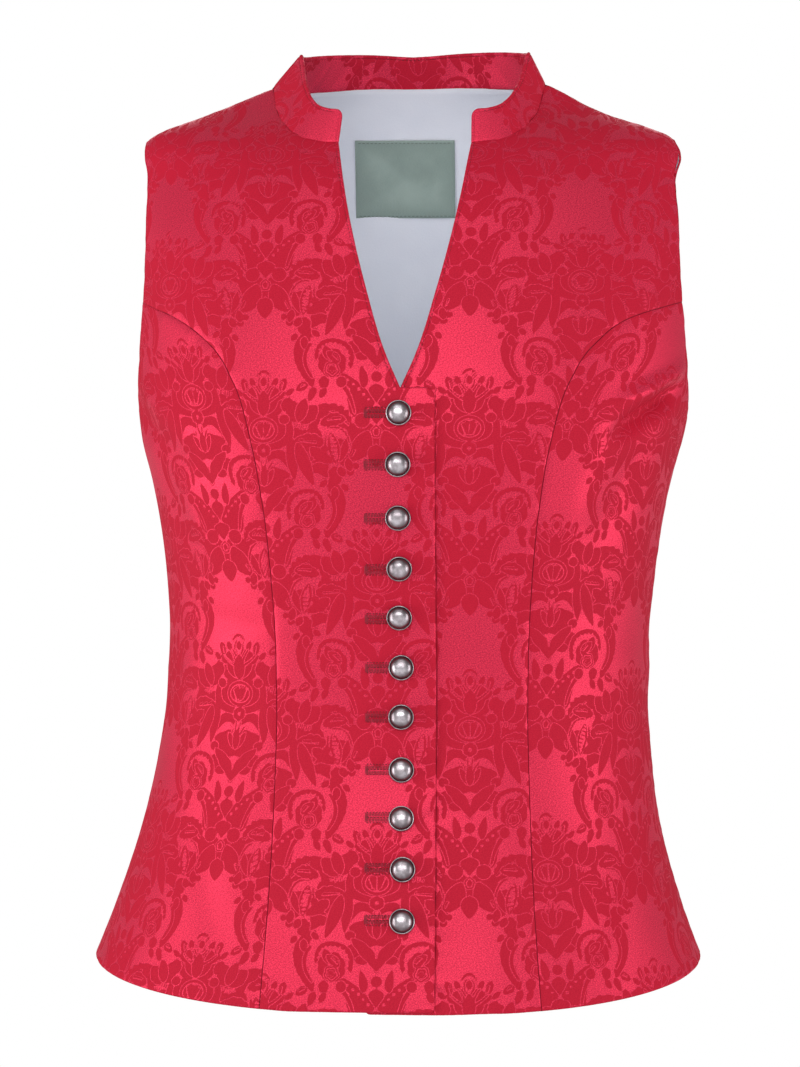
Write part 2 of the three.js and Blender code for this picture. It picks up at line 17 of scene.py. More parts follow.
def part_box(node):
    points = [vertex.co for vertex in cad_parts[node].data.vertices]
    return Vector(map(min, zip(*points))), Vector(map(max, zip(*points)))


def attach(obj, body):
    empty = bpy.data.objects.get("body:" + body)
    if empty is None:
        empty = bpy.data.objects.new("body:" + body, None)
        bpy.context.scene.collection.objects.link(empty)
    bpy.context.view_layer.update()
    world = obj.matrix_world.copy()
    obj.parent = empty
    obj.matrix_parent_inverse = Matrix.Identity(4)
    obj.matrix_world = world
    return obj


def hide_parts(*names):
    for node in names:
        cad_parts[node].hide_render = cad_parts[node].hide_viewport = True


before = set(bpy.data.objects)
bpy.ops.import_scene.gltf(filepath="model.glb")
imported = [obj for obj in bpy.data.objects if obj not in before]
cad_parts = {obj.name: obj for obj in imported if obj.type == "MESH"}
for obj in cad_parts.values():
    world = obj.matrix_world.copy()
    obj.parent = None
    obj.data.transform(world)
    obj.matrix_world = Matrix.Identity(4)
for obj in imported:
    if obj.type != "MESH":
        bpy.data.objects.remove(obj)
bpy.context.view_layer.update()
MM = 0.001                      # the tables and the cloth sums below are in millimetres
print("the frame holds", len(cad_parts), "pieces")

# %% [markdown]
# ## Camera and studio
# Clothes look best from far off through a long lens, which keeps the near front from looking
# too wide. The camera stands level with the middle of the bodice, a little to its left side.

# %% Camera
def add_object(name, data):
    """Puts a mesh, a camera or a light in the scene as an object."""
    thing = bpy.data.objects.new(name, data)
    bpy.context.scene.collection.objects.link(thing)
    return thing


VIEW_YAW = math.radians(2.5)
VIEW_DISTANCE = 3.1
VIEW_HEIGHT = -0.2523
VIEW_ASIDE = -0.0054
LENS = 232.5

camera_data = bpy.data.cameras.new("camera")
camera_data.sensor_fit = "HORIZONTAL"
camera_data.sensor_width = 36
camera_data.lens = LENS
camera_data.clip_end = 50
camera = add_object("camera", camera_data)
camera.location = (
    VIEW_ASIDE + VIEW_DISTANCE * math.sin(VIEW_YAW),
    -VIEW_DISTANCE * math.cos(VIEW_YAW),
    VIEW_HEIGHT,
)
camera.rotation_euler = (math.radians(90), 0, VIEW_YAW)
bpy.context.scene.camera = camera
bpy.context.scene.view_settings.view_transform = "Standard"

# %% [markdown]
# The studio is a white room: soft boxes to the left and right make the satin gleam on the
# turned sides, and those above the camera light the bust and the flare of the hem. The camera
# sees the room as pure white, but its walls throw much less light than that on the satin.

# %% Lights and room
MIDDLE = Vector((0, 0, -0.25))  # of the bodice


def soft_box(name, place, width, height, power):
    """A rectangular light, turned to face the middle of the bodice."""
    data = bpy.data.lights.new(name, "AREA")
    data.shape = "RECTANGLE"
    data.size = width
    data.size_y = height
    data.energy = power
    light = add_object(name, data)
    light.location = place
    light.rotation_euler = (MIDDLE - Vector(place)).to_track_quat("-Z", "Y").to_euler()


for name, *settings in (        # the middle of each box in metres, its width, height and power
    ("left_box", (-2.6, -0.9, -0.7), 1.0, 2.6, 45),
    ("right_box", (2.6, -0.9, -0.7), 1.0, 2.6, 35),
    ("top_box", (-0.3, -2.9, 0.8), 2.6, 1.1, 31),
    ("sky_box", (-0.2, -1.7, 2.1), 2.6, 1.2, 12),
    ("back_box", (0, 2.8, 0.9), 2.4, 1.2, 26),
):
    soft_box(name, *settings)
print(len(bpy.data.lights), "soft boxes")

ROOM_WHITE, ROOM_TINT = (1, 1, 1, 1), (1.0, 0.98, 0.98, 1)
ROOM_LIGHT = 0.32               # the share of the white that the satin sees
world = bpy.data.worlds.new("room")
world.use_nodes = True
bpy.context.scene.world = world
nodes = world.node_tree.nodes
links = world.node_tree.links
backdrop = nodes["Background"]
backdrop.inputs["Color"].default_value = ROOM_WHITE
fill = nodes.new("ShaderNodeBackground")
fill.inputs["Color"].default_value = ROOM_TINT
fill.inputs["Strength"].default_value = ROOM_LIGHT
seen = nodes.new("ShaderNodeLightPath")
choice = nodes.new("ShaderNodeMixShader")
links.new(seen.outputs["Is Camera Ray"], choice.inputs["Fac"])
links.new(fill.outputs["Background"], choice.inputs[1])
links.new(backdrop.outputs["Background"], choice.inputs[2])
links.new(choice.outputs["Shader"], nodes["World Output"].inputs["Surface"])

# %% [markdown]
# ## The body form
# A dress form is measured as a stack of horizontal sections. Each section here is a rounded
# oval: half its width, its depth in front and behind, and how square each half is. A smooth
# curve through the rows gives every height between them.

# %% The body form
def table(columns, *rows):
    """Rows of numbers as one array for each named column."""
    return dict(zip(columns.split(), np.array(rows, float).T))


FORM = table(
    "z half front back square_front square_back aside",
    (24, 62.5, 5, 67.5, 1.9, 2.0, 2.5),
    (16, 82, 13, 71, 1.9, 2.0, 2.5),
    (0, 117.2, 31.5, 79, 1.9, 2.0, -1.5),
    (-14, 154.6, 50, 85.5, 1.9, 2.0, 0.5),
    (-20, 161.5, 58, 88, 1.92, 2.0, 1.6),
    (-40, 165.2, 77, 94.5, 2.05, 2.05, 2.4),
    (-60, 167.2, 89, 99.5, 2.2, 2.1, 3.3),
    (-100, 168, 105.5, 106.5, 2.4, 2.25, 3.9),
    (-140, 167.2, 117, 109.5, 2.55, 2.3, 3.9),
    (-184, 163.6, 126, 107.5, 2.6, 2.35, 3),
    (-196, 161.4, 127, 106, 2.6, 2.35, 2.4),
    (-220, 155.1, 126, 101.8, 2.55, 2.3, 2),
    (-268, 147, 117.5, 91.5, 2.4, 2.2, 1.5),
    (-328, 143.7, 107.2, 83, 2.27, 2.15, 0),
    (-376, 146.7, 107, 85, 2.25, 2.15, -2),
    (-424, 154.8, 113, 96, 2.25, 2.2, -4.5),
    (-472, 169.2, 121, 111, 2.3, 2.25, -6),
    (-530, 192, 131, 124, 2.3, 2.3, -7),
)


def read(rows, key, column, at):
    """A smooth curve through a table's rows, read at any places between them."""
    k, c = rows[key], rows[column]
    if k[0] > k[-1]:
        k, c = k[::-1], c[::-1]
    step = np.diff(k)
    slope = np.diff(c) / step
    inner = (slope[:-1] * step[1:] + slope[1:] * step[:-1]) / (step[:-1] + step[1:])
    tangent = np.concatenate([slope[:1], inner, slope[-1:]])
    at = np.asarray(at, float)
    i = np.clip(np.searchsorted(k, at, side="right") - 1, 0, len(step) - 1)
    h = step[i]
    t = (at - k[i]) / h
    bend = t * t * (3 - 2 * t)
    return c[i] + (c[i + 1] - c[i]) * bend + h * t * (1 - t) * ((1 - t) * tangent[i] - t * tangent[i + 1])


def form(column, z):
    return read(FORM, "z", column, z)


def half_width(x, z):
    """Half the form's width at a height, on the side of x."""
    return form("half", z) + np.sign(x) * form("aside", z)


def depth(y, z):
    return np.where(y < 0, form("front", z), form("back", z))


def squareness(y, z):
    return np.where(y < 0, form("square_front", z), form("square_back", z))


def outness(p):
    """1 on the form, less inside it, for places in an array of x, y, z."""
    x, y, z = p[..., 0], p[..., 1], p[..., 2]
    square = squareness(y, z)
    across, deep = np.abs(x) / half_width(x, z), np.abs(y) / depth(y, z)
    return (across ** square + deep ** square) ** (1 / square)


def gradient(p):
    """How fast outness grows along x, y and z."""
    steps = 0.02 * np.eye(3)
    return np.stack([(outness(p + step) - outness(p - step)) / (2 * step.sum()) for step in steps], -1)


def unit(v):
    return v / np.linalg.norm(v, axis=-1, keepdims=True)


def outward(p):
    return unit(gradient(p))


def settle(p, steps=4):
    """The nearest places on the form."""
    for _ in range(steps):
        g = gradient(p)
        p = p + g * ((1 - outness(p)) / (g * g).sum(-1))[..., None]
    return p


def xyz(x, y, z):
    return np.stack(np.broadcast_arrays(np.asarray(x, float), y, z), -1)


def across_form(x, z, way):
    """A place on the form at a distance aside, in front where way is -1 and behind where it is 1."""
    square = squareness(way, z)
    across = np.minimum(1, np.abs(x) / half_width(x, z))
    return xyz(x, way * depth(way, z) * (1 - across ** square) ** (1 / square), z)


def on_front(x, z):
    return across_form(x, z, -1)


def on_back(x, z):
    return across_form(x, z, 1)


def on_side(y, z, side):
    y = np.asarray(y, float)
    square = squareness(y, z)
    deep = np.minimum(1, np.abs(y) / depth(y, z))
    return xyz(side * half_width(side, z) * (1 - deep ** square) ** (1 / square), y, z)


def on_form(turn, side, z):
    """A place on the form at a turn about its axis: 0 is the centre front, 180 the centre back."""
    angle = np.radians(turn)
    p = xyz(side * np.sin(angle), -np.cos(angle), z)
    scale = 1 / outness(p)
    return xyz(p[..., 0] * scale, p[..., 1] * scale, z)


def turn_of(p):
    return np.degrees(np.arctan2(np.abs(p[..., 0]), -p[..., 1]))


# %% [markdown]
# ## Edges and seams
# A pattern cutter draws each seam as a line on the form. The hem dips at the centre front and
# the centre back, the armhole is an egg, and the princess seams sweep from the armhole over
# the bust to the hem. Every line below is a row of close points on the form.

# %% Measures of the edges
SIDES = (-1, 1)                 # the wearer's right and left
WALL = 1.5                      # figured satin with its interlining
LAP = 20                        # the button stand reaches this far past the centre front
V_POINT = -168                  # lowest point of the neck opening
HEM_SIDE, HEM_FRONT_DROP, HEM_BACK_DROP, HEM_CURVE, HEM_TILT = -502, 26, 16, 1.3, 1.2
UNDERLAP_DROP = 0.9             # the left stand is shorter than the right one by this
LAP_GAP = 0.3                   # the air between the two stands
LAP_FOOT, LAP_FADE, LAP_FADE_UP = 2, 40, 60
NECK_POINT = (81.6, 16.2)
SHOULDER_TIP = (159.6, -15.6)
UNDERARM, BUST_LEVEL, WAIST_LEVEL = -184, -196, -335
FRONT_SEAM_START = 0.56         # where the princess seam leaves the armhole, 0 tip, 1 underarm
BACK_SEAM_START = 0.48

V_EDGE = table("z x", (-168, 0), (-148, 8.7), (-111, 20.1), (-59, 32.7), (-21, 39.2))
NECK_FRONT = table("x z", (39.2, -21), (52, -20), (63, -16.5), (72.5, -8.5), (79, 4), (81.6, 16.2))
NECK_BACK_RISE, NECK_BACK_SWELL = 4.4, 4.0
ARM_FRONT, ARM_BACK = (44, 0.25), (46, 0.1)     # how far an armhole scoops in, and how low it does
FRONT_SEAM = (
    (-126, 134), (-142, 112.5), (-165, 97.5), (-197, 87.5), (-235, 80.5), (-285, 75.5),
    (-345, 73.2), (-410, 74.5), (-470, 77.3), (-530, 81.8),
)
BACK_SEAM = (
    (-108, 128), (-130, 104), (-165, 80), (-215, 61), (-275, 49.5),
    (-335, 45), (-385, 46.5), (-450, 53.5), (-530, 63),
)


# %% Lines on the form
def ease(t):
    t = np.clip(t, 0, 1)
    return t * t * (3 - 2 * t)


def hem_height(p):
    x, y = p[..., 0], p[..., 1]
    drop = np.where(y < 0, HEM_FRONT_DROP, HEM_BACK_DROP)
    tilt = HEM_TILT * x / form("half", HEM_SIDE)
    return HEM_SIDE - tilt - drop * np.clip(np.abs(y) / depth(y, HEM_SIDE), 0, 1) ** HEM_CURVE


def down_to_hem(place):
    """The point on the hem of the line that place(z) draws."""
    p = place(HEM_SIDE)
    for _ in range(8):
        p = place(hem_height(p))
    return p


def armhole(turn, side, front):
    """The armhole's edge, from 0 at the shoulder tip to 1 underarm."""
    angle = np.pi * np.asarray(turn, float)
    middle = (SHOULDER_TIP[1] + UNDERARM) / 2
    radius = (SHOULDER_TIP[1] - UNDERARM) / 2
    scoop, low = ARM_FRONT if front else ARM_BACK
    y = scoop * np.sin(angle) * (1 - low * np.cos(angle))
    return on_side(-y if front else y, middle + radius * np.cos(angle), side)


def princess(side, front):
    rows = FRONT_SEAM if front else BACK_SEAM
    place = on_front if front else on_back
    start = armhole(FRONT_SEAM_START if front else BACK_SEAM_START, side, front)
    seam = table("z x", (start[2], abs(start[0])), *rows)

    def line(z):
        return place(side * read(seam, "z", "x", z), z)
    return line(np.linspace(down_to_hem(line)[2], start[2], 800))


def side_seam(side):
    foot = down_to_hem(lambda z: on_side(0.0, z, side))
    return on_side(0.0, np.linspace(foot[2], UNDERARM, 600), side)


def neck_front(side):
    x = np.linspace(NECK_FRONT["x"][0], NECK_POINT[0], 300)
    return on_front(side * x, read(NECK_FRONT, "x", "z", x))


def neck_back(side):
    turn = np.linspace(0, np.pi / 2, 300)
    x = side * NECK_POINT[0] * np.cos(turn)
    rise = NECK_BACK_RISE * np.sin(turn) ** 2 + NECK_BACK_SWELL * np.sin(2 * turn) ** 2
    z = NECK_POINT[1] + rise
    return settle(xyz(x, form("back", z) * np.sin(turn), z), steps=8)


def shoulder(side):
    t = np.linspace(0, 1, 200)
    x = NECK_POINT[0] + (SHOULDER_TIP[0] - NECK_POINT[0]) * t
    z = NECK_POINT[1] + (SHOULDER_TIP[1] - NECK_POINT[1]) * t
    return settle(xyz(side * x, 0, z), steps=8)


def v_edge(side):
    z = np.linspace(V_POINT, V_EDGE["z"][-1], 400)
    return on_front(side * read(V_EDGE, "z", "x", z), z)


def hem_line(side, start, end):
    return down_to_hem(lambda z: on_form(np.linspace(start, end, 400), side, z))


def lengths(line):
    """How far along a line each of its points lies."""
    return np.concatenate([[0], np.cumsum(np.linalg.norm(np.diff(line, axis=0), axis=1))])


def shares(line):
    """The same as parts of the line's length, from 0 to 1."""
    reach = lengths(line)
    return reach / reach[-1]


def between(at, reach, rows):
    """Rows of vectors read at any places between them, in straight lines."""
    return np.stack([np.interp(at, reach, column) for column in rows.T], -1)


def at_parts(line, parts):
    """The places at given parts, 0 to 1, of a line's length."""
    reach = lengths(line)
    return between(np.asarray(parts) * reach[-1], reach, line)


def beside(line, inside, gap):
    """A line moved sideways on the form towards its own piece."""
    along = np.gradient(line, axis=0)
    sideways = unit(np.cross(outward(line), along))
    sign = np.sign(sideways[0] @ (inside - line[0]))
    return line + sideways * sign * gap


def round_form(z):
    """The length all round the form at a height, in centimetres."""
    turn = np.linspace(0, 180, 400)
    return round(sum(lengths(on_form(turn, side, z))[-1] for side in SIDES) / 10, 1)


print("bust", round_form(BUST_LEVEL), "cm, waist", round_form(WAIST_LEVEL), "cm")

# %% [markdown]
# ## Cutting the panels
# A panel is a grid stretched between four lines, so that its edges follow its seams exactly.
# The rows are close enough for the woven figure, and closer still beside a seam or an edge,
# where the cloth turns. Blender's own grid gives the faces; the points are then moved onto the
# form, the blocks of a panel are merged, and Solidify gives the wall. The inside needs far
# fewer faces than the outside, so it is un-subdivided.

# %% Grids between seams
STEP = 1.15                     # between the rows of the damask
SIDE_BACK_STEP, CENTRE_BACK_STEP = 1.45, 1.7
BY_SEAM = (0.25, 0.6, 1.1, 1.8)     # where the closer rows lie beside a seam
BY_EDGE = (0.15, 0.4, 0.8, 1.25, 1.6, 1.9, 2.2, 2.7)    # and beside an edge, with its ditch


def graded(length, step=STEP, start=(), end=()):
    """Parts of a length for the rows of a grid: even, but finer at its ends where asked."""
    start, end = np.array([0, *start], float), np.array([0, *end], float)
    count = max(1, round((length - start[-1] - end[-1]) / step))
    middle = np.linspace(start[-1], length - end[-1], count + 1)
    return np.concatenate([start[:-1], middle, (length - end[:-1])[::-1]]) / length


def patch(bottom, right, top, left):
    """A grid on the form between four rows of points; left and right run upwards."""
    bottom[0], bottom[-1], top[0], top[-1] = left[0], right[0], left[-1], right[-1]
    u, v = shares(bottom)[None, :, None], shares(left)[:, None, None]
    p = bottom[None] * (1 - v) + top[None] * v + left[:, None] * (1 - u) + right[:, None] * u
    p -= (left[0] * (1 - u) + right[0] * u) * (1 - v) + (left[-1] * (1 - u) + right[-1] * u) * v
    p = settle(p)
    p[0], p[-1] = bottom, top
    p[:, 0], p[:, -1] = left, right
    return p


def chain(lines, parts):
    """Points at parts of lines laid end to end, with one of them exactly on each corner."""
    reach = np.cumsum([0] + [lengths(line)[-1] for line in lines])
    corners = [int(np.argmin(np.abs(parts - r / reach[-1]))) for r in reach]
    out = []
    for line, start, end in zip(lines, corners, corners[1:]):
        own = (parts[start:end + 1] - parts[start]) / (parts[end] - parts[start])
        out.append(at_parts(line, own)[1 if out else 0:])
    return np.concatenate(out)


# %% Grids to walls
NEAR_STEP = 0.15                # between the places on a line that nearest() looks at
LINE_APART = 40                 # added from one line to the next, so that their puckers differ


def smooth_mesh(name, made):
    """The mesh of what bmesh has made, shaded smooth."""
    mesh = bpy.data.meshes.new(name)
    made.to_mesh(mesh)
    made.free()
    mesh.shade_smooth()
    return mesh


def lay_grid(whole, points, facing):
    """Adds a grid of points to a mesh in the making, with its faces towards facing."""
    along, up = points[0, 1] - points[0, 0], points[1, 0] - points[0, 0]
    if np.cross(along, up) @ facing(points[:1, 0])[0] < 0:
        points = points[:, ::-1]
    grid = bmesh.new()
    rows, columns = points.shape[:2]
    bmesh.ops.create_grid(grid, x_segments=columns - 1, y_segments=rows - 1, size=0.5)
    mesh = smooth_mesh("grid", grid)
    mesh.vertices.foreach_set("co", points.reshape(-1))
    whole.from_mesh(mesh)
    bpy.data.meshes.remove(mesh)


def sewn_wall(name, grids, facing=outward, coarse_back=True):
    """The blocks of a panel as one wall whose two sides still lie on each other.

    Returns the object and, for each point, its place, its outward direction and whether it
    belongs to the back of the cloth.
    """
    whole = bmesh.new()
    twin = whole.verts.layers.int.new("twin")
    for points in grids:
        lay_grid(whole, points, facing)
    bmesh.ops.remove_doubles(whole, verts=whole.verts, dist=0.02)
    places = np.array([v.co for v in whole.verts])
    for i, v in enumerate(whole.verts):
        v[twin] = i
    made = bmesh.ops.solidify(whole, geom=whole.faces[:], thickness=1.0)["geom"]
    back = [v for v in made if isinstance(v, bmesh.types.BMVert)]
    for v in back:
        v[twin] += len(places)
    for f in made:
        if isinstance(f, bmesh.types.BMFace) and all(v[twin] >= len(places) for v in f.verts):
            f.material_index = 1
    if coarse_back:
        bmesh.ops.unsubdivide(whole, verts=back, iterations=2)
    mesh = smooth_mesh(name, whole)
    own = np.empty(len(mesh.vertices), np.int32)
    mesh.attributes["twin"].data.foreach_get("value", own)
    mesh.attributes.remove(mesh.attributes["twin"])
    p = places[own % len(places)]
    return add_object(name, mesh), p, facing(p), own >= len(places)


def place_points(mesh, points):
    mesh.vertices.foreach_set("co", (points * MM).reshape(-1))
    mesh.update()


def keep_values(mesh, name, values):
    layer = mesh.attributes.new(name, "FLOAT", "POINT")
    layer.data.foreach_set("value", np.asarray(values, np.float32))


def keep_figure(mesh, figure):
    for name, values in zip(("low", "middle", "high", "ribs"), figure):
        keep_values(mesh, name, values)


def keep_cloth(mesh, s, t):
    """Writes the cloth's own coordinates, in centimetres, as the UV map that its weave follows."""
    corner = np.empty(len(mesh.loops), int)
    mesh.loops.foreach_get("vertex_index", corner)
    uv = mesh.uv_layers.new(name="cloth")
    uv.data.foreach_set("uv", (np.stack([s, t], -1)[corner] / 10).reshape(-1))


def search_tree(spots):
    tree = kdtree.KDTree(len(spots))
    for i, spot in enumerate(spots):
        tree.insert(spot, i)
    tree.balance()
    return tree


def nearest(points, lines):
    """How far each point is from the nearest of some lines, and how far along them that is."""
    counts = [int(lengths(line)[-1] / NEAR_STEP) + 2 for line in lines]
    lines = [at_parts(line, np.linspace(0, 1, count)) for line, count in zip(lines, counts)]
    along, start = [], 0.0
    for line in lines:
        along.append(lengths(line) + start)
        start = along[-1][-1] + LINE_APART
    tree, along = search_tree(np.concatenate(lines)), np.concatenate(along)
    found = np.array([tree.find(p)[1:] for p in points])
    return found[:, 1], along[found[:, 0].astype(int)]


# %% [markdown]
# ## Cloth coordinates
# A woven pattern belongs to the flat cloth, so every panel needs to know where its points lay
# before it was sewn. Sideways that is the length round the body from the panel's grain line,
# and upwards the length along the body. Both are measured on the form.

# %% Lengths round and up the form
LEVELS = np.linspace(-531, 24, 280)
TURNS = np.linspace(0, 180, 241)
GIRTH = {}
for side in SIDES:
    ring = on_form(TURNS[None, :], side, LEVELS[:, None])
    steps = np.linalg.norm(np.diff(ring, axis=1), axis=-1)
    GIRTH[side] = np.concatenate([np.zeros((len(LEVELS), 1)), np.cumsum(steps, axis=1)], axis=1)


def girth(turn, z, side):
    """The length round the form from the centre front, at a height."""
    row = np.clip((z - LEVELS[0]) / (LEVELS[1] - LEVELS[0]), 0, len(LEVELS) - 1.001)
    column = np.clip(turn / TURNS[1], 0, len(TURNS) - 1.001)
    j, i = row.astype(int), column.astype(int)
    v, u = row - j, column - i
    g = GIRTH[side]
    low = g[j, i] * (1 - u) + g[j, i + 1] * u
    return low * (1 - v) + (g[j + 1, i] * (1 - u) + g[j + 1, i + 1] * u) * v


def signed_girth(p):
    """Length round the form from the centre front, positive to the wearer's left."""
    turn = turn_of(p)
    left = girth(turn, p[..., 2], 1)
    return np.where(p[..., 0] >= 0, left, -girth(turn, p[..., 2], -1))


def climb(turn, z):
    """The length up the form along one turn, measured from the point of the V."""
    line = on_form(turn, 1, LEVELS)
    reach = lengths(line)
    return np.interp(z, LEVELS, reach - np.interp(V_POINT, LEVELS, reach))

# %% [markdown]
# ## The woven figure
# Damask shows one bouquet over and over: a crown, a shell held by scrolls, great leaves,
# roses in frilled rims, a banded horn and a hanging spray, the same on both sides of its
# middle. Its columns stand side by side, and every other one is half a repeat lower. The
# bouquet is drawn like cut paper in three layers, with three kinds of shape, leaves, blooms
# and strokes, each of which can say how far outside itself a place is. The smallest answer in
# a layer is the distance to it, and a material can turn that smooth number into an edge much
# finer than the mesh, with a thin line of ground round each layer that lies on another. Light
# ribs in the shapes are a fourth number, which is zero along each rib.

# %% The bouquet's shapes
REPEAT = 176.0                  # height of the repeat
COLUMN = 66.5                   # from one column of bouquets to the next
FOOT = -134                     # where a repeat starts, below the middle of its shell
NO_RIB, NO_SHAPE = 1.5, 6.0     # what the ribs and the layers say where there is none
GAP = 0.55                      # ground that shows between a shape and the one behind it


def rows_of(columns, *rows):
    """Each row's values by the names of their columns. A row can leave out its last ones."""
    return [dict(zip(columns.split(), row)) for row in rows]


# A leaf starts at x, y and points at an angle, clockwise from straight up.
LEAVES = rows_of(
    "layer x y angle length width bend peak teeth tooth rib",
    # crown: buds, stems with leaflets, and the lotus under them
    (2, 0.0, 25.6, 0, 5.6, 1.9, 0, 1.0),
    (1, 10.6, 22.0, 12, 9.0, 2.4, 0.6, 1.1, 2, 0.25, "vein"),
    (1, 13.2, 20.4, 58, 6.4, 1.6, -0.6, 1.0),
    (1, 5.6, 25.2, 22, 6.4, 1.7, 0.3, 0.9),
    (1, 8.0, 17.6, 52, 7.0, 1.5, -0.8, 1.0),
    (2, 0.0, 8.6, 0, 15.0, 3.6, 0, 0.8),
    (1, 0.6, 9.2, 36, 12.5, 3.0, 0.6, 1.0),
    (0, 1.0, 9.4, 66, 13.5, 3.4, -4.2, 1.2),
    (1, 12.2, 11.0, 22, 9.0, 3.2, 0.6, 1.0, 2, 0.2),
    # tulip: two outer petals, the inner one, and its fringed cup
    (1, 19.8, 4.4, -8, 13.6, 5.0, -1.2, 0.9, 3, 0.16),
    (1, 22.6, 4.0, 38, 14.0, 5.0, 1.2, 0.9, 3, 0.16),
    (2, 21.0, 4.6, 15, 14.5, 3.6, 0.4, 1.0, 2, 0.12),
    (0, 21.4, -0.6, 14, 9.5, 6.0, 0, 1.4, 0, 0.0, "fan"),
    # great leaf: lobes and hanging fingers
    (0, 17.0, -3.0, 56, 22.0, 8.0, -3.5, 1.1, 4, 0.2),
    (1, 18.5, -6.0, 100, 19.0, 5.6, -1.5, 1.0, 4, 0.2, "vein"),
    (1, 16.8, -4.0, 178, 25.0, 3.5, -1.0, 0.8),
    (2, 20.4, -7.0, 164, 27.0, 3.7, -2.4, 0.8),
    (1, 25.0, -9.0, 151, 23.0, 4.0, -3.0, 0.8, 3, 0.2),
    (2, 28.0, -10.0, 132, 16.0, 3.8, -2.5, 0.9, 3, 0.22),
    # under the shell: a small palmette
    (2, 0.0, -32.5, 0, 11.5, 2.3, 0, 0.9),
    (1, 0.8, -32.0, 24, 11.0, 1.9, 0.8, 0.9),
    # the lily under it, and a leaflet beside the ball
    (2, 0.0, -51.5, 16, 23.0, 4.0, 8.5, 1.3, 3, 0.2),
    (1, 0.0, -41.0, 180, 11.5, 3.4, 0, 0.8),
    (1, 4.6, -46.0, 64, 8.0, 2.8, 1.5, 1.1),
    (1, 7.6, -63.5, -8, 13.0, 2.6, 3.4, 0.8),
    # rose petals
    (2, 21.6, -48.5, 38, 10.0, 2.6, 1.6, 1.0, 0, 0.0, "vein"),
    (1, 27.6, -47.0, 8, 9.0, 2.8, 1.4, 1.0),
    (1, 29.0, -63.5, 140, 7.0, 2.0, 0.6, 1.0),
    (1, 40.0, -61.0, 112, 8.0, 2.6, 0.8, 0.8, 2, 0.2, "vein"),
    (2, 35.5, -63.0, 150, 9.0, 2.4, 0.8, 0.8, 2, 0.2),
    # over the horn
    (2, 0.0, -73.2, 0, 12.0, 4.4, 0, 1.9),
    # lower flower
    (1, 0.0, -85.4, 0, 11.4, 5.4, 0, 1.9),
    (1, 4.6, -88.4, 160, 19.0, 5.6, -1.6, 1.0),
    (2, 0.0, -96.6, 180, 13.0, 5.0, 0, 0.75),
    # feathered leaf beside it, and a barred pod
    (0, 13.6, -88.5, 40, 25.0, 7.2, 6.5, 1.2, 6, 0.3, "vein"),
    (1, 17.5, -82.0, 84, 15.0, 4.4, 3.5, 1.1, 4, 0.26, "vein"),
    (1, 16.5, -92.0, 170, 15.0, 2.2, -2.2, 1.0),
    (2, 23.0, -108.0, 6, 19.0, 3.2, 1.5, 1.1, 0, 0.0, "bars"),
    # hanging spray
    (1, 11.0, -98.0, 152, 9.0, 2.4, 0.4, 1.0, 0, 0.0, "vein"),
    (2, 16.6, -104.0, 190, 8.0, 2.3, 0.4, 1.0),
    (1, 21.5, -109.0, 205, 6.5, 2.3, 0.4, 1.0),
    (1, 28.6, -106.0, 160, 8.5, 2.4, 0.6, 1.0, 2, 0.2),
    (2, 24.0, -120.6, 180, 7.4, 2.2, 0, 0.9),
    (1, 28.4, -117.0, 128, 6.0, 1.8, 0, 0.9),
    (1, 20.0, -119.0, 224, 5.6, 1.8, 0, 0.9),
    (1, 34.6, -102.0, -14, 8.0, 1.8, 0.8, 1.0),
    (1, 33.0, -112.0, 70, 5.0, 1.6, 0, 1.0),
)
# A bloom is a round or oval shape about x, y, with or without lobes.
BLOOMS = rows_of(
    "layer x y angle long wide lobes depth hole rib",
    (2, 0.0, 0.2, 0, 7.2, 8.6, 0, 0.0, 0.0, "shell"),
    (2, 12.6, 6.4, 0, 2.7, 3.0),
    (2, 0.0, -11.6, 0, 3.8, 4.0, 6, 0.16, 1.3),
    (1, 15.4, -30.6, 0, 2.6, 3.0),
    (0, 25.5, -4.0, 20, 8.4, 9.4, 7, 0.1),
    (0, 26.0, -48.5, 20, 8.6, 8.0, 8, 0.12),
    (2, 26.0, -52.5, 40, 4.4, 4.2, 5, 0.2, 0.0, "ring"),
    (1, 30.6, -60.0, 0, 3.4, 3.0, 5, 0.15),
    (2, 0.0, -57.0, 0, 3.1, 3.2),
    (2, 20.4, -60.0, 0, 3.2, 3.0),
    (2, 0.0, -89.0, 0, 3.4, 2.9, 5, 0.2, 0.0, "ring"),
    (1, 8.2, -82.6, 0, 4.1, 4.3),
    (0, 24.0, -114.0, 0, 4.6, 4.6, 5, 0.28),
    (1, 38.0, -107.0, 0, 2.2, 2.4),
    (1, 15.0, -112.0, 0, 2.2, 2.2),
    (2, 11.6, -108.6, 0, 1.8, 1.8),
    (2, 30.0, -99.0, 0, 2.0, 2.2),
    # massed behind: the crown, the shell, the palmette, the lily, the horn and the spray
    (0, 4.5, 17.0, 0, 8.6, 9.6, 7, 0.14),
    (0, 0.0, -0.5, 0, 10.4, 13.4, 9, 0.06),
    (0, 5.4, -29.0, 0, 7.6, 9.8, 7, 0.12),
    (0, 10.4, -40.0, 0, 6.2, 7.0, 5, 0.16),
    (0, 9.6, -73.0, 20, 11.0, 6.6, 7, 0.12),
    (0, 8.6, -92.0, 0, 9.6, 8.6, 7, 0.14),
    (0, 18.0, -101.0, 30, 8.4, 6.0, 6, 0.16),
)
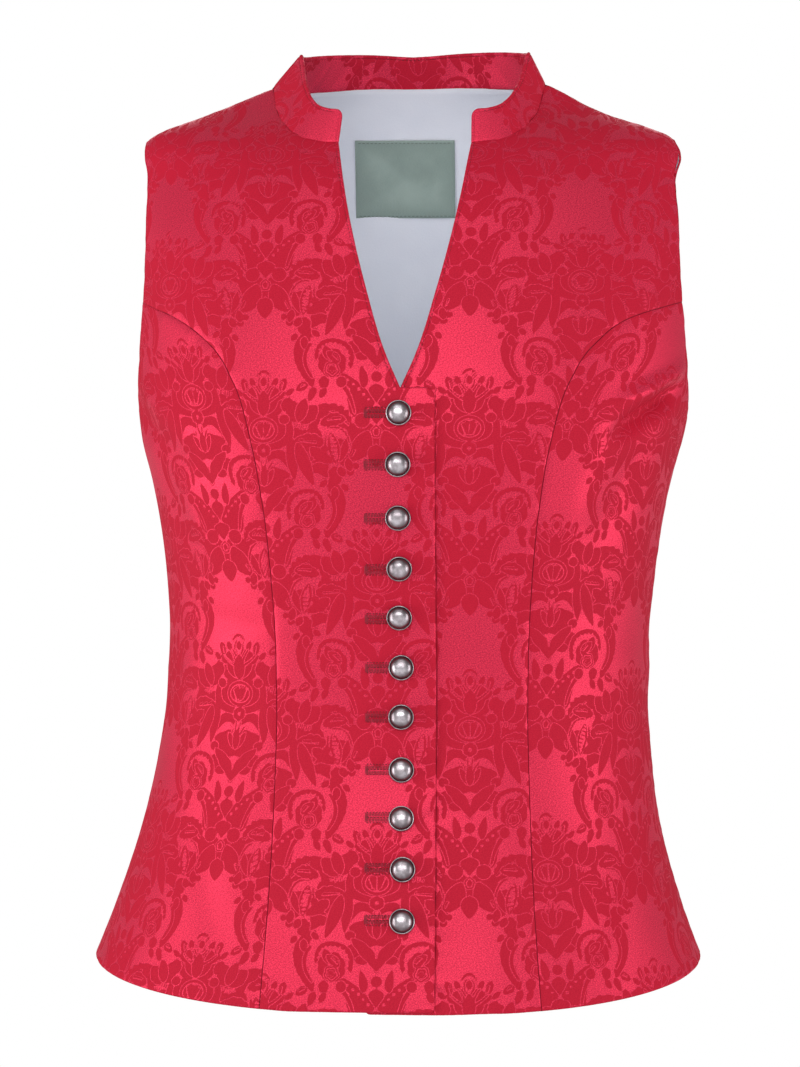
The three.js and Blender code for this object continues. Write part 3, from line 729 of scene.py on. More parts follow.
# A stroke bends from its first point to its last, drawn towards the middle one.
STROKES = rows_of(
    "layer x0 y0 x1 y1 x2 y2 w0 w1 w2 frill rib",
    # crown
    (1, 0.0, 34.6, 3.0, 34.4, 4.2, 31.0, 1.7, 1.5, 0.8),
    (1, 1.0, 23.4, 4.8, 27.4, 1.2, 31.6, 1.0, 1.1, 0.8),
    (2, 2.4, 18.6, 3.6, 22.6, 6.2, 25.8, 1.3, 1.0, 0.9),
    (2, 3.6, 17.0, 7.2, 18.8, 11.0, 22.6, 1.3, 1.0, 0.9),
    # scrolls that hold the shell, and the arches under it
    (1, 2.2, -9.8, 20.4, -8.4, 14.6, 6.0, 3.2, 6.0, 3.2),
    (0, 2.6, -16.8, 11.0, -8.0, 17.5, -24.0, 2.6, 8.4, 2.4),
    (2, 0.7, -24.0, 0.9, -20.0, 1.6, -17.0, 1.0, 0.9, 0.8),
    (2, 2.4, -23.6, 3.4, -20.6, 5.4, -18.6, 1.0, 0.9, 0.8),
    (0, 0.5, -30.0, 6.5, -21.4, 14.2, -26.0, 3.6, 5.4, 3.4),
    # rose: its frilled rim, and the crescent round it with a barred band inside
    (1, 15.6, -51.0, 12.0, -38.0, 24.0, -35.4, 3.0, 3.2, 3.0, 6),
    (1, 24.0, -35.4, 35.5, -34.0, 35.0, -46.0, 3.0, 3.0, 2.4, 6),
    (0, 36.0, -29.0, 53.0, -38.0, 37.0, -61.0, 4.0, 12.0, 4.6, 8),
    (2, 38.5, -37.0, 46.0, -46.0, 37.5, -57.0, 1.4, 2.6, 1.4),
    # horn of plenty
    (0, 3.2, -72.0, 9.0, -64.0, 19.0, -57.6, 4.6, 6.6, 5.0, 0, "diamonds"),
    (1, 21.5, -60.4, 15.4, -65.0, 12.6, -78.0, 2.4, 2.4, 1.2),
    # tendrils
    (2, 15.0, -97.0, 17.2, -85.0, 26.5, -86.6, 1.0, 1.3, 0.9),
    (2, 29.5, -91.0, 28.5, -104.0, 36.6, -106.4, 1.0, 1.2, 1.4),
)


# %% How far a place is outside each kind of shape
def waves(t):
    """0 on whole numbers and 1 halfway between them, in straight lines."""
    return 1 - np.abs(2 * (t - np.floor(t)) - 1)


def turned(x, y, row):
    """Lengths along and across a shape's own direction."""
    a = math.radians(row["angle"])
    x, y = x - row["x"], y - row["y"]
    return x * math.sin(a) + y * math.cos(a), x * math.cos(a) - y * math.sin(a)


def notches(count, t):
    """1 in the notches between so many rounded teeth, and 0 on their tips."""
    return 1 - np.abs(np.sin(np.pi * count * t)) ** 0.7


def leaf_width(t, row):
    t = np.clip(t, 0, 1)
    width = row["width"] * np.sin(np.pi * t ** row["peak"]) ** 0.75
    if row.get("teeth"):
        width = width * (1 - row["tooth"] * notches(row["teeth"], t))
    return width


def leaf(x, y, row):
    along, across = turned(x, y, row)
    length = row["length"]
    t = np.clip(along / length, 0, 1)
    across = across - row["bend"] * t ** 2
    width = leaf_width(t, row)
    lean = (leaf_width(t + 0.02, row) - leaf_width(t - 0.02, row)) / (0.04 * length)
    past = np.maximum(0, np.maximum(-along, along - length))
    beside_it = (np.abs(across) - width) / np.sqrt(1 + np.minimum(lean ** 2, 4))
    d = np.where(past > 0, np.hypot(across, past), beside_it)
    rib = np.full_like(d, NO_RIB)
    if row.get("rib") == "vein":
        rib = np.where((t > 0.15) & (t < 0.72), across, rib)
    elif row.get("rib") == "fan":
        fan = row["width"] / 14 * np.sin(14 * across / row["width"])
        rib = np.where((t > 0.1) & (t < 0.5), 1.6 * fan, rib)
    elif row.get("rib") == "bars":
        rib = np.where(np.abs(across) < 0.7 * width, 1.1 * (waves(along / 2.2) - 0.35), rib)
    return d, rib


def bloom(x, y, row):
    along, across = turned(x, y, row)
    long, wide = row["long"], row["wide"]
    k = np.hypot(along / long, across / wide)
    slope = np.hypot(along / long ** 2, across / wide ** 2) + 1e-6
    edge = 1.0
    if row.get("lobes"):
        turn = np.arctan2(across / wide, along / long)
        edge = 1 + row["depth"] * (np.abs(np.cos(row["lobes"] * turn / 2)) ** 0.8 - 0.6)
    d = np.where(k < 0.3, -0.7 * min(wide, long), (k - edge) * k / slope)
    if row.get("hole"):
        d = np.maximum(d, row["hole"] - np.hypot(along, across))
    rib = np.full_like(d, NO_RIB)
    if row.get("rib") == "ring":
        rib = d + 1.1
    elif row.get("rib") == "shell":
        below = along + long + 2
        fan = np.sin(8 * np.arctan2(across, below)) * np.hypot(across, below) / 8
        rib = np.where(d > -3.0, d + 1.9, np.where(k < 0.8, fan, rib))
    return d, rib


FRILL = (1.5, 0.4)              # how deep a frill cuts into a stroke's outer and its inner side


def stroke(x, y, row):
    t = np.linspace(0, 1, 13)
    share = ((1 - t) ** 2, 2 * t * (1 - t), t ** 2)
    px, py, w = (sum(s * row[c + str(i)] for i, s in enumerate(share)) for c in "xyw")
    best = np.full(x.shape, 1e3)
    at, aside = np.zeros(x.shape), np.zeros(x.shape)
    reach = np.concatenate([[0], np.cumsum(np.hypot(np.diff(px), np.diff(py)))])
    for i in range(len(t) - 1):
        ex, ey = px[i + 1] - px[i], py[i + 1] - py[i]
        n = math.hypot(ex, ey)
        s = np.clip(((x - px[i]) * ex + (y - py[i]) * ey) / n ** 2, 0, 1)
        d = np.hypot(x - px[i] - s * ex, y - py[i] - s * ey) - (w[i] + s * (w[i + 1] - w[i])) / 2
        closer = d < best
        best = np.where(closer, d, best)
        at = np.where(closer, reach[i] + s * n, at)
        aside = np.where(closer, ((x - px[i]) * ey - (y - py[i]) * ex) / n, aside)
    if row.get("frill"):
        best = best + np.where(aside > 0, *FRILL) * notches(row["frill"], at / reach[-1])
    rib = np.full_like(best, NO_RIB)
    if row.get("rib") == "diamonds":
        rib = np.maximum(0, 2.1 * waves(at / 4.2 + 0.5) + np.abs(aside) - 1.05)
    return best, rib


def reach_of(row):
    """The middle of a shape and how far it reaches from there."""
    if "x0" in row:
        x, y = (row["x0"] + row["x2"]) / 2, (row["y0"] + row["y2"]) / 2
        far = max(math.hypot(row["x" + i] - x, row["y" + i] - y) for i in "012")
        return x, y, far + max(row["w0"], row["w1"], row["w2"]) / 2
    if "length" in row:
        a, half = math.radians(row["angle"]), row["length"] / 2
        far = half + row["width"] + abs(row["bend"])
        return row["x"] + half * math.sin(a), row["y"] + half * math.cos(a), far
    return row["x"], row["y"], 1.2 * max(row["long"], row["wide"])


SHAPES = [(row, leaf) for row in LEAVES] + [(row, bloom) for row in BLOOMS]
SHAPES += [(row, stroke) for row in STROKES]
SHAPES.sort(key=lambda pair: -pair[0]["layer"])
print(len(SHAPES), "shapes in half a bouquet")


def bouquet(x, y):
    """How far each place is outside each layer of one bouquet, and its rib number."""
    x = np.abs(x)
    layers, rib = np.full((3, len(x)), NO_SHAPE), np.full(len(x), NO_RIB)
    for row, measure in SHAPES:
        cx, cy, far = reach_of(row)
        near = np.flatnonzero(np.hypot(x - cx, y - cy) < far + 3)
        d, r = measure(x[near], y[near], row)
        over = layers[row["layer"] + 1:, near].min(axis=0, initial=NO_SHAPE)
        if "rib" in row:
            ribbed = (d < 1.0) & (over > 0)
            rib[near[ribbed]] = r[ribbed]
        layers[row["layer"], near] = np.minimum(layers[row["layer"], near], d)
    return layers, rib


def damask(s, t, aside, shell):
    """The figure at cloth places, with a column's middle at aside and its shell at a height."""
    s, t = s - aside, t - shell
    layers, rib = np.full((3, len(s)), NO_SHAPE), np.full(len(s), NO_RIB)
    middle = np.round(s / COLUMN)
    for i in (-1, 0, 1):
        column = middle + i
        up = t + REPEAT / 2 * (column % 2)
        up = (up - FOOT) % REPEAT + FOOT
        d, r = bouquet(s - column * COLUMN, up)
        rib = np.where(np.abs(r) < NO_RIB, r, rib)
        layers = np.minimum(layers, d)
    return [*layers, rib]

# %% [markdown]
# ## Finishes
# A finish is a small tree of nodes. The helpers below add one node each, so that a material
# reads like a recipe. Every cloth here is woven, so all of them share one node group, the
# weave: fine threads in one direction with a soft, uneven dye under them. Each material gives
# it its own thread count and turn.

# %% Helpers for node trees
def set_node(tree, node, **settings):
    """A setting named like one of the node's properties sets it; any other one fills a socket."""
    for key, value in settings.items():
        if hasattr(node, key):
            setattr(node, key, value)
            continue
        socket = node.inputs[int(key[1:]) if key[1:].isdigit() else key.replace("_", " ")]
        if isinstance(value, bpy.types.NodeSocket):
            tree.links.new(value, socket)
        else:
            socket.default_value = value
    return node


def put(tree, kind, **settings):
    """Adds a node."""
    return set_node(tree, tree.nodes.new(kind), **settings)


def calculate(tree, operation, a, b=0.0, c=0.0):
    return put(tree, "ShaderNodeMath", operation=operation, i0=a, i1=b, i2=c).outputs[0]


def ramp(tree, value, low, high, out_low=0.0, out_high=1.0):
    """A smooth change from one value to another as the input goes from low to high."""
    settings = {"From Min": low, "From Max": high, "To Min": out_low, "To Max": out_high}
    node = put(tree, "ShaderNodeMapRange", interpolation_type="SMOOTHSTEP", Value=value, **settings)
    return node.outputs["Result"]


def mixed(tree, share, a, b):
    """From colour a to colour b as the share goes from 0 to 1."""
    return put(tree, "ShaderNodeMix", data_type="RGBA", i0=share, i6=a, i7=b).outputs[2]


def stored(tree, name):
    return put(tree, "ShaderNodeAttribute", attribute_name=name).outputs["Fac"]


def noise(tree, place, scale, detail=2.0):
    return put(tree, "ShaderNodeTexNoise", Vector=place, Scale=scale, Detail=detail).outputs["Fac"]


def product(tree, a, b):
    return put(tree, "ShaderNodeVectorMath", operation="MULTIPLY", i0=a, i1=b).outputs[0]


def cloth_place(tree):
    return put(tree, "ShaderNodeUVMap", uv_map="cloth").outputs["UV"]


def own_place(tree):
    return put(tree, "ShaderNodeTexCoord").outputs["Object"]


def bumps(tree, height, distance, strength):
    """The normals of a surface with a height from 0 to 1, which stands for a distance in metres."""
    node = put(tree, "ShaderNodeBump", Strength=strength, Distance=distance, Height=height)
    return node.outputs["Normal"]


def new_material(name):
    material = bpy.data.materials.new(name)
    material.use_nodes = True
    return material, material.node_tree, material.node_tree.nodes["Principled BSDF"]


# %% The weave, a node group for every cloth
THREAD_SPREAD = (0.3, 0.7)      # the part of the noise that the threads and the dye show


def weave_group():
    group = bpy.data.node_groups.new("weave", "ShaderNodeTree")
    group.interface.new_socket("Cloth", in_out="INPUT", socket_type="NodeSocketVector")
    for name, value in (("Turn", 0.0), ("Along", 9.0), ("Across", 42.0), ("Dye", 0.3)):
        socket = group.interface.new_socket(name, in_out="INPUT", socket_type="NodeSocketFloat")
        socket.default_value = value
    for name in ("Threads", "Dyed"):
        group.interface.new_socket(name, in_out="OUTPUT", socket_type="NodeSocketFloat")
    given = put(group, "NodeGroupInput").outputs
    laid = put(
        group, "ShaderNodeVectorRotate", rotation_type="Z_AXIS",
        Angle=given["Turn"], Vector=given["Cloth"],
    )
    counts = put(group, "ShaderNodeCombineXYZ", X=given["Along"], Y=given["Across"], Z=given["Across"])
    threads = noise(group, product(group, laid.outputs[0], counts.outputs[0]), 1.0)
    dyed = noise(group, given["Cloth"], given["Dye"], 3.0)
    put(
        group, "NodeGroupOutput",
        Threads=ramp(group, threads, *THREAD_SPREAD), Dyed=ramp(group, dyed, *THREAD_SPREAD),
    )
    return group


WEAVE = weave_group()


def woven(tree, turn, along, across, dye):
    """The weave's threads and dye on the piece's own cloth coordinates, with counts to the cm."""
    node = put(
        tree, "ShaderNodeGroup", node_tree=WEAVE,
        Cloth=cloth_place(tree), Turn=math.radians(turn), Along=along, Across=across, Dye=dye,
    )
    return node.outputs["Threads"], node.outputs["Dyed"]


# %% [markdown]
# Damask is one thread woven two ways. In the ground the warp floats over many threads, lies
# smooth and gleams; in the figure the weft covers it and looks dull. So one material holds two
# finishes, and the distances stored in the panels say where each is. A little noise added to
# the distances steps the figure's edge from thread to thread.

# %% Figured satin
SOFT = 0.12                     # half the width over which the figure's edge fades, in mm
FRAY = 0.35                     # how far the threads step in or out along that edge, in mm
FRAY_SCALE = 22.0
RIB_CORE, RIB_SIDE = 0.26, 0.5
SATIN_WEAVE = (24, 10.0, 22.0, 0.25)    # its turn, its two counts and the scale of its dye
SPECKLE_SCALE, SPECKLE_SHARE, THREAD_SHARE = 14.0, 0.35, 0.65
GROUND_ROUGH, DYE_ROUGH, FIGURE_ROUGH = 0.42, 0.05, 0.2
GROUND_METAL, SATIN_SHINE, SATIN_STRETCH = 0.52, 0.12, 0.5
GROUND_LOW, GROUND_HIGH = (0.50, 0.014, 0.045, 1), (0.95, 0.055, 0.121, 1)
# painted shade along the seams: its colour, and how near a seam it is full and where it fades, in mm
SEAM_SHADE_COLOUR = (0.24, 0.005, 0.018, 1)
SEAM_SHADE_CORE, SEAM_SHADE_SIDE = 0.05, 0.38
FIGURE_LOW, FIGURE_HIGH = (0.48, 0.008, 0.030, 1), (0.58, 0.013, 0.040, 1)


def figured_satin():
    material, tree, shader = new_material("figured_satin")
    threads, dyed = woven(tree, *SATIN_WEAVE)
    cloth = cloth_place(tree)
    fray = calculate(tree, "MULTIPLY_ADD", noise(tree, cloth, FRAY_SCALE, 1.0), 2 * FRAY, -FRAY)
    layers = [calculate(tree, "ADD", stored(tree, name), fray) for name in ("low", "middle", "high")]
    off_middle, off_high = (ramp(tree, value, GAP - SOFT, GAP + SOFT) for value in layers[1:])
    low, middle, high = (ramp(tree, value, -SOFT, SOFT, 1.0, 0.0) for value in layers)
    low = calculate(tree, "MULTIPLY", low, off_middle)
    under = calculate(tree, "MULTIPLY", calculate(tree, "MAXIMUM", low, middle), off_high)
    rib = ramp(tree, calculate(tree, "ABSOLUTE", stored(tree, "ribs")), RIB_CORE, RIB_SIDE)
    figure = calculate(tree, "MULTIPLY", calculate(tree, "MAXIMUM", high, under), rib)

    speckle = ramp(tree, noise(tree, cloth, SPECKLE_SCALE, 1.0), 0.34, 0.66, 0.0, SPECKLE_SHARE)
    shade = calculate(tree, "MULTIPLY_ADD", threads, THREAD_SHARE, speckle)
    ground = mixed(tree, shade, GROUND_LOW, GROUND_HIGH)
    dull = mixed(tree, threads, FIGURE_LOW, FIGURE_HIGH)
    # Painted shade: within a fraction of a millimetre of a seam the colour turns dark, for the shadow in
    # its crack
    seam_shade = ramp(tree, stored(tree, "seam"), SEAM_SHADE_CORE, SEAM_SHADE_SIDE)
    gloss = calculate(tree, "MULTIPLY_ADD", dyed, DYE_ROUGH, GROUND_ROUGH)
    height = calculate(tree, "MULTIPLY_ADD", threads, 0.15, figure)
    tangent = put(tree, "ShaderNodeTangent", direction_type="UV_MAP", uv_map="cloth")
    set_node(
        tree, shader,
        Base_Color=mixed(tree, seam_shade, SEAM_SHADE_COLOUR, mixed(tree, figure, ground, dull)),
        Roughness=calculate(tree, "MULTIPLY_ADD", figure, FIGURE_ROUGH, gloss),
        Metallic=ramp(tree, figure, 0, 1, GROUND_METAL, 0.0),
        Specular_IOR_Level=SATIN_SHINE,
        Anisotropic=SATIN_STRETCH,
        Tangent=tangent.outputs["Tangent"],
        Normal=bumps(tree, height, 0.0002, 0.6),
    )
    return material


SATIN = figured_satin()

# %% [markdown]
# The lining is a pale twill: fine diagonal lines, nearly matt. The label is a sateen, woven of
# finer threads across its width, so it has a slight gleam. The sewing thread is two plies
# twisted round each other, which a tight wave across the stitches stands for.

# %% Lining, label and thread
EDGE_SHADE_REACH = 14.0               # the dye's clouds fade out this near to an edge, in mm, leaving painted shade there


def plain_cloth(name, pale, deep, weave, gloss, sheen):
    """A cloth of one colour: its weave is the turn, the two counts and the scale of the dye."""
    material, tree, shader = new_material(name)
    threads, dyed = woven(tree, *weave)
    # Painted shade: the dye's clouds fade out near an edge, which leaves the cloth darker there
    clear_of_edge_shade = ramp(tree, stored(tree, "edge"), 0.0, EDGE_SHADE_REACH)
    shade = calculate(tree, "MULTIPLY_ADD", calculate(tree, "MULTIPLY", dyed, clear_of_edge_shade), 0.6, 0.2)
    tone = calculate(tree, "MULTIPLY_ADD", threads, 0.25, shade)
    set_node(
        tree, shader,
        Base_Color=mixed(tree, tone, deep, pale),
        Roughness=ramp(tree, threads, 0, 1, *gloss),
        Sheen_Weight=sheen,
        Sheen_Roughness=0.4,
        Normal=bumps(tree, threads, 0.00012, 0.5),
    )
    return material


TWILL = plain_cloth(
    "lining_twill", (0.86, 0.89, 0.96, 1), (0.70, 0.74, 0.83, 1),
    weave=(45, 8.0, 36.0, 0.12), gloss=(0.62, 0.48), sheen=0.15,
)
SATEEN = plain_cloth(
    "label_sateen", (0.36, 0.46, 0.41, 1), (0.20, 0.27, 0.24, 1),
    weave=(0, 10.0, 50.0, 0.35), gloss=(0.5, 0.36), sheen=0.1,
)
TWIST_SCALE, TWIST_UNEVEN, FUZZ_SCALE = 900.0, 1.5, 600.0


def twisted_thread(name, pale, deep):
    """Thread for stitches, whose twist is a wave in the object's own coordinates, in metres."""
    material, tree, shader = new_material(name)
    place = own_place(tree)
    twist = put(
        tree, "ShaderNodeTexWave", bands_direction="DIAGONAL",
        Vector=place, Scale=TWIST_SCALE, Distortion=TWIST_UNEVEN,
    )
    ply = ramp(tree, twist.outputs["Fac"], 0.2, 0.8)
    half_ply = calculate(tree, "MULTIPLY", ply, 0.5)
    tone = calculate(tree, "MULTIPLY_ADD", noise(tree, place, FUZZ_SCALE), 0.5, half_ply)
    set_node(
        tree, shader,
        Base_Color=mixed(tree, tone, deep, pale),
        Roughness=ramp(tree, ply, 0, 1, 0.7, 0.5),
        Normal=bumps(tree, ply, 0.00008, 0.6),
    )
    return material


RED_THREAD = twisted_thread("red_thread", (0.42, 0.011, 0.036, 1), (0.20, 0.005, 0.018, 1))
# Dark thread: on the topstitching, darkened partly as painted shade; in the buttonholes' slits and needle
# holes, painted shade only
DARK_THREAD_AND_SHADE = twisted_thread("dark_thread_and_painted_shade", (0.20, 0.006, 0.016, 1), (0.08, 0.003, 0.008, 1))
LABEL_COTTON = twisted_thread("label_thread", (0.15, 0.19, 0.18, 1), (0.05, 0.07, 0.065, 1))

# %% [markdown]
# The buttons are stamped of thin metal and silvered, then darkened with patina and polished
# again, which leaves the dark in the groove. The dome is left brightest in its middle, a painted
# highlight, and darkens towards the groove, with the rim half as dark: painted shade for the dark
# that polished metal reflects at its edges, and partly tarnish. How far each point is from the
# button's middle is stored in it, so the groove and the flanks can be found.

# %% Antique silver
GROOVE_IN, GROOVE_OUT, GROOVE_SOFT = 0.868, 0.895, 0.03     # as parts of the button's radius
CLOUD_SCALE, SCRATCH_SCALE = 260.0, 2600.0
BRIGHT_SILVER, OLD_SILVER = (0.84, 0.78, 0.83, 1), (0.52, 0.46, 0.49, 1)
# the first colour is tarnish and painted shade on the dome's flanks and rim; the second is the patina in
# the groove
TARNISH_AND_SHADE, PATINA = (0.10, 0.072, 0.080, 1), (0.045, 0.032, 0.036, 1)


def antique_silver():
    material, tree, shader = new_material("antique_silver")
    place, from_axis = own_place(tree), stored(tree, "from_axis")
    inside = ramp(tree, from_axis, GROOVE_IN - GROOVE_SOFT, GROOVE_IN)
    outside = ramp(tree, from_axis, GROOVE_OUT, GROOVE_OUT + GROOVE_SOFT, 1, 0)
    groove = calculate(tree, "MULTIPLY", inside, outside)
    foot = ramp(tree, from_axis, 0.985, 1.0, 0.0, 0.55)
    clouds = ramp(tree, noise(tree, place, CLOUD_SCALE, 4.0), 0.36, 0.66)
    scratches = noise(tree, place, SCRATCH_SCALE, 2.0)
    # Painted highlight and shade: the dome is bright in its middle and darkens towards the groove, and
    # the rim is half dark
    dome_shade = ramp(tree, from_axis, 0.22, 0.84, 0.0, 0.9)
    flank_tarnish_and_shade = calculate(tree, "MULTIPLY", dome_shade, ramp(tree, from_axis, GROOVE_IN, GROOVE_OUT, 1, 0.55))
    metal = mixed(tree, flank_tarnish_and_shade, mixed(tree, clouds, OLD_SILVER, BRIGHT_SILVER), TARNISH_AND_SHADE)
    dark = calculate(tree, "MAXIMUM", groove, foot)
    polished = calculate(tree, "MULTIPLY_ADD", clouds, -0.08, 0.32)
    gloss = calculate(tree, "MULTIPLY_ADD", dark, 0.3, polished)
    height = calculate(tree, "MULTIPLY_ADD", clouds, 0.5, scratches)
    set_node(
        tree, shader,
        Base_Color=mixed(tree, dark, metal, PATINA),
        Roughness=calculate(tree, "MULTIPLY_ADD", scratches, 0.08, gloss),
        Metallic=1.0,
        Normal=bumps(tree, height, 0.00003, 0.5),
    )
    return material


SILVER = antique_silver()


def dress(piece, *materials):
    for material in materials:
        piece.data.materials.append(material)

# %% [markdown]
# ## The panels' outlines
# Each panel is cut from the lines above: its hem, its seams and its armhole. The fronts have a
# button stand as well, which runs past the centre line, so their grid has two blocks that meet
# level with the point of the V.

# %% Pieces of outline
SEW = 0.07                      # half the crack that shows between two sewn panels
FREE_CORNER, FOOT_CORNER = 6, 3     # how far the stand's corners are rounded
IN_FRONT = (50.0, -300.0)       # x and z of a place inside each centre front
PRESSED = (0.3, 0.8)            # past the lap, its edge presses a line into the front beneath, with a painted shadow line


def cut_at(line, z):
    """A rising line's parts below and above a height."""
    i = int(np.searchsorted(line[:, 2], z))
    share = (z - line[i - 1, 2]) / (line[i, 2] - line[i - 1, 2])
    spot = line[i - 1] + (line[i] - line[i - 1]) * share
    return np.concatenate([line[:i], [spot]]), np.concatenate([[spot], line[i:]])


def round_corner(c, radius):
    """How far the rounded corner at the free edge of a button stand cuts into its end."""
    aside = np.clip(radius - (c + LAP), 0, radius)
    return radius - np.sqrt(radius ** 2 - aside ** 2)


def arm_line(side, front, start, end):
    return armhole(np.linspace(start, end, 400), side, front)


def inside_front(side):
    return on_front(side * IN_FRONT[0], IN_FRONT[1])


# %% Centre fronts
def centre_front(side):
    inside = inside_front(side)
    seam, upper_seam = cut_at(beside(princess(side, True), inside, SEW), V_POINT)
    stand = -LAP + LAP * graded(LAP, start=BY_EDGE)
    wide = abs(seam[-1, 0])
    own = graded(wide, start=BY_EDGE, end=BY_SEAM)
    c = np.concatenate([stand, own[1:] * wide])
    foot_c = np.where(c > 0, c * abs(seam[0, 0]) / wide, c)

    drop = UNDERLAP_DROP * (1 - ease((np.abs(foot_c) - LAP) / LAP_FADE)) if side > 0 else 0
    foot = down_to_hem(lambda z: on_front(side * foot_c, z))[:, 2]
    hem = on_front(side * foot_c, foot - drop + round_corner(foot_c, FOOT_CORNER))
    level = on_front(side * c, V_POINT - round_corner(c, FREE_CORNER))
    rows = graded(level[0, 2] - hem[0, 2], start=BY_EDGE, end=BY_EDGE)
    free = on_front(-side * LAP, hem[0, 2] + (level[0, 2] - hem[0, 2]) * rows)
    low = patch(hem, at_parts(seam, rows), level, free)

    neck = beside(neck_front(side), inside, SEW)
    top = beside(shoulder(side), inside, SEW)
    arm = arm_line(side, True, FRONT_SEAM_START, 0)
    slope = v_edge(side)
    rows = graded(lengths(slope)[-1], end=BY_SEAM)
    base = low[-1][len(stand) - 1:]
    neck_and_top = chain([neck, top], shares(base))
    high = patch(base.copy(), chain([upper_seam, arm], rows), neck_and_top, at_parts(slope, rows))
    edges = [hem, free, low[-1][:len(stand)], slope, arm]
    seams = [seam, upper_seam, neck, top]
    # The lines that the lap's edge presses count as seams, so they sink and take its painted shadow
    if side > 0:
        seams += [on_front(LAP + past, np.linspace(hem[0, 2], V_POINT, 400)) for past in PRESSED]
    return {"grids": [low, high], "edges": edges, "stitched": [slope], "seams": seams}


# %% Side fronts, side backs and the centre back
def side_panel(side, front):
    """A side front or a side back, between its princess seam and the side seam."""
    inside = on_form(60.0 if front else 120.0, side, -330.0)
    seam = beside(princess(side, front), inside, SEW)
    edge = beside(side_seam(side), inside, SEW)
    arm = arm_line(side, front, FRONT_SEAM_START if front else BACK_SEAM_START, 1)
    hem = hem_line(side, turn_of(seam[0]), 90.0)
    step = STEP if front else SIDE_BACK_STEP
    rows = graded((lengths(seam)[-1] + lengths(edge)[-1]) / 2, step, BY_EDGE, BY_EDGE)
    columns = graded((lengths(arm)[-1] + lengths(hem)[-1]) / 2, step, BY_SEAM, BY_SEAM)
    foot, top = at_parts(hem, columns), at_parts(arm, columns)
    grid = patch(foot, at_parts(edge, rows), top, at_parts(seam, rows))
    return {"grids": [grid], "edges": [hem, arm], "stitched": [], "seams": [seam, edge]}


def centre_back():
    inside = on_form(180.0, 1, -200.0)
    seams = [beside(princess(side, False), inside, SEW) for side in SIDES]
    arms = [arm_line(side, False, BACK_SEAM_START, 0) for side in SIDES]
    shoulders = [beside(shoulder(side), inside, SEW) for side in SIDES]
    necks = [beside(neck_back(side), inside, SEW) for side in SIDES]
    halves = [hem_line(side, turn_of(seam[0]), 180.0) for side, seam in zip(SIDES, seams)]
    tall = lengths(seams[0])[-1] + lengths(arms[0])[-1]
    rows = graded(tall, CENTRE_BACK_STEP, BY_EDGE, BY_SEAM)
    top = [shoulders[0][::-1], necks[0], necks[1][::-1], shoulders[1]]
    wide = sum(lengths(line)[-1] for line in top + halves) / 2
    columns = graded(wide, CENTRE_BACK_STEP, BY_SEAM, BY_SEAM)
    grid = patch(
        chain([halves[0], halves[1][::-1]], columns), chain([seams[1], arms[1]], rows),
        chain(top, columns), chain([seams[0], arms[0]], rows),
    )
    return {"grids": [grid], "edges": halves + arms, "stitched": [], "seams": seams + shoulders + necks}


# %% [markdown]
# ## Folds, seams and edges
# Cloth is never smooth. Long soft folds start at the armholes and the waist, a seam sinks
# between its two panels and puckers a little, an edge rolls over, and a stitched edge has a
# ditch beside it. All of these only move points in or out, so one sum of heights serves.

# %% Heights over the form
FOLDS = table(                  # s round from the centre front, z up, and the direction's angle
    "s t angle long wide high",
    (158, -181, 26, 31, 7.0, -8.2), (163, -165, 21, 30, 5.5, 3.8), (138, -228, 60, 40, 13, -3.2),
    (114, -214, 66, 40, 12, 1.3), (158, -262, 70, 36, 11, 0.8), (-166, -194, -30, 34, 9, -2.6),
    (-156, -179, -26, 30, 8, 1.3), (-150, -236, -62, 34, 11, -1.1), (-128, -246, -60, 34, 10, 0.6),
    (52, -231, 4, 26, 2.4, -0.42), (46, -238, -3, 30, 2.2, 0.40), (55, -246, 2, 24, 2.6, -0.38),
    (42, -254, 5, 26, 2.4, 0.36), (58, -262, -4, 20, 2.6, -0.34), (36, -271, 2, 22, 2.8, 0.30),
    (62, -279, 6, 16, 2.6, -0.28), (48, -290, -5, 24, 3.2, 0.28), (-52, -236, 3, 22, 2.8, -0.32),
    (-58, -246, -4, 20, 2.6, 0.30), (-48, -257, 2, 24, 3.0, -0.28), (-60, -270, 5, 18, 3.0, 0.26),
    (-44, -318, -6, 34, 6, -0.45), (-50, -338, 4, 36, 6, 0.40), (-40, -362, -3, 30, 7, -0.38),
    (50, -322, 5, 30, 6, -0.42), (44, -346, -4, 34, 6, 0.38), (56, -372, 3, 28, 7, -0.34),
    (118, -300, 12, 30, 8, -0.9), (124, -328, 6, 34, 8, 0.8), (120, -352, -4, 30, 9, -0.8),
    (-112, -304, -10, 30, 8, -0.8), (-120, -330, -4, 34, 8, 0.7), (-116, -356, 6, 30, 9, -0.7),
    (128, -452, 74, 44, 12, -1.0), (-118, -458, -76, 44, 12, -1.0), (-92, -488, 78, 26, 9, 0.6),
    (232, -300, 14, 36, 9, -1.3), (240, -330, 4, 40, 10, 1.1), (228, -362, -10, 34, 10, -1.1),
    (-230, -298, -12, 36, 9, -1.2), (-236, -332, -3, 40, 10, 1.1), (-226, -360, 9, 34, 10, -1.0),
    (298, -150, 40, 46, 11, -2.0), (312, -168, 34, 40, 10, 1.1), (-300, -154, -42, 44, 11, -1.9),
    (-310, -172, -36, 40, 10, 1.0), (338, -306, 9, 40, 9, -1.4), (346, -334, -6, 44, 10, 1.2),
    (-340, -300, -8, 40, 9, -1.3), (-344, -330, 5, 46, 10, 1.1), (-336, -358, -4, 36, 9, -0.9),
    (390, -60, 58, 50, 12, 0.9), (-392, -66, -62, 50, 12, -0.9), (300, -450, 80, 50, 14, -1.2),
    (-306, -456, -82, 50, 14, -1.2), (250, -240, 70, 50, 13, -0.9), (-252, -236, -68, 50, 13, -0.9),
)
EDGE_ROLL = 1.0                 # the radius of a rolled edge
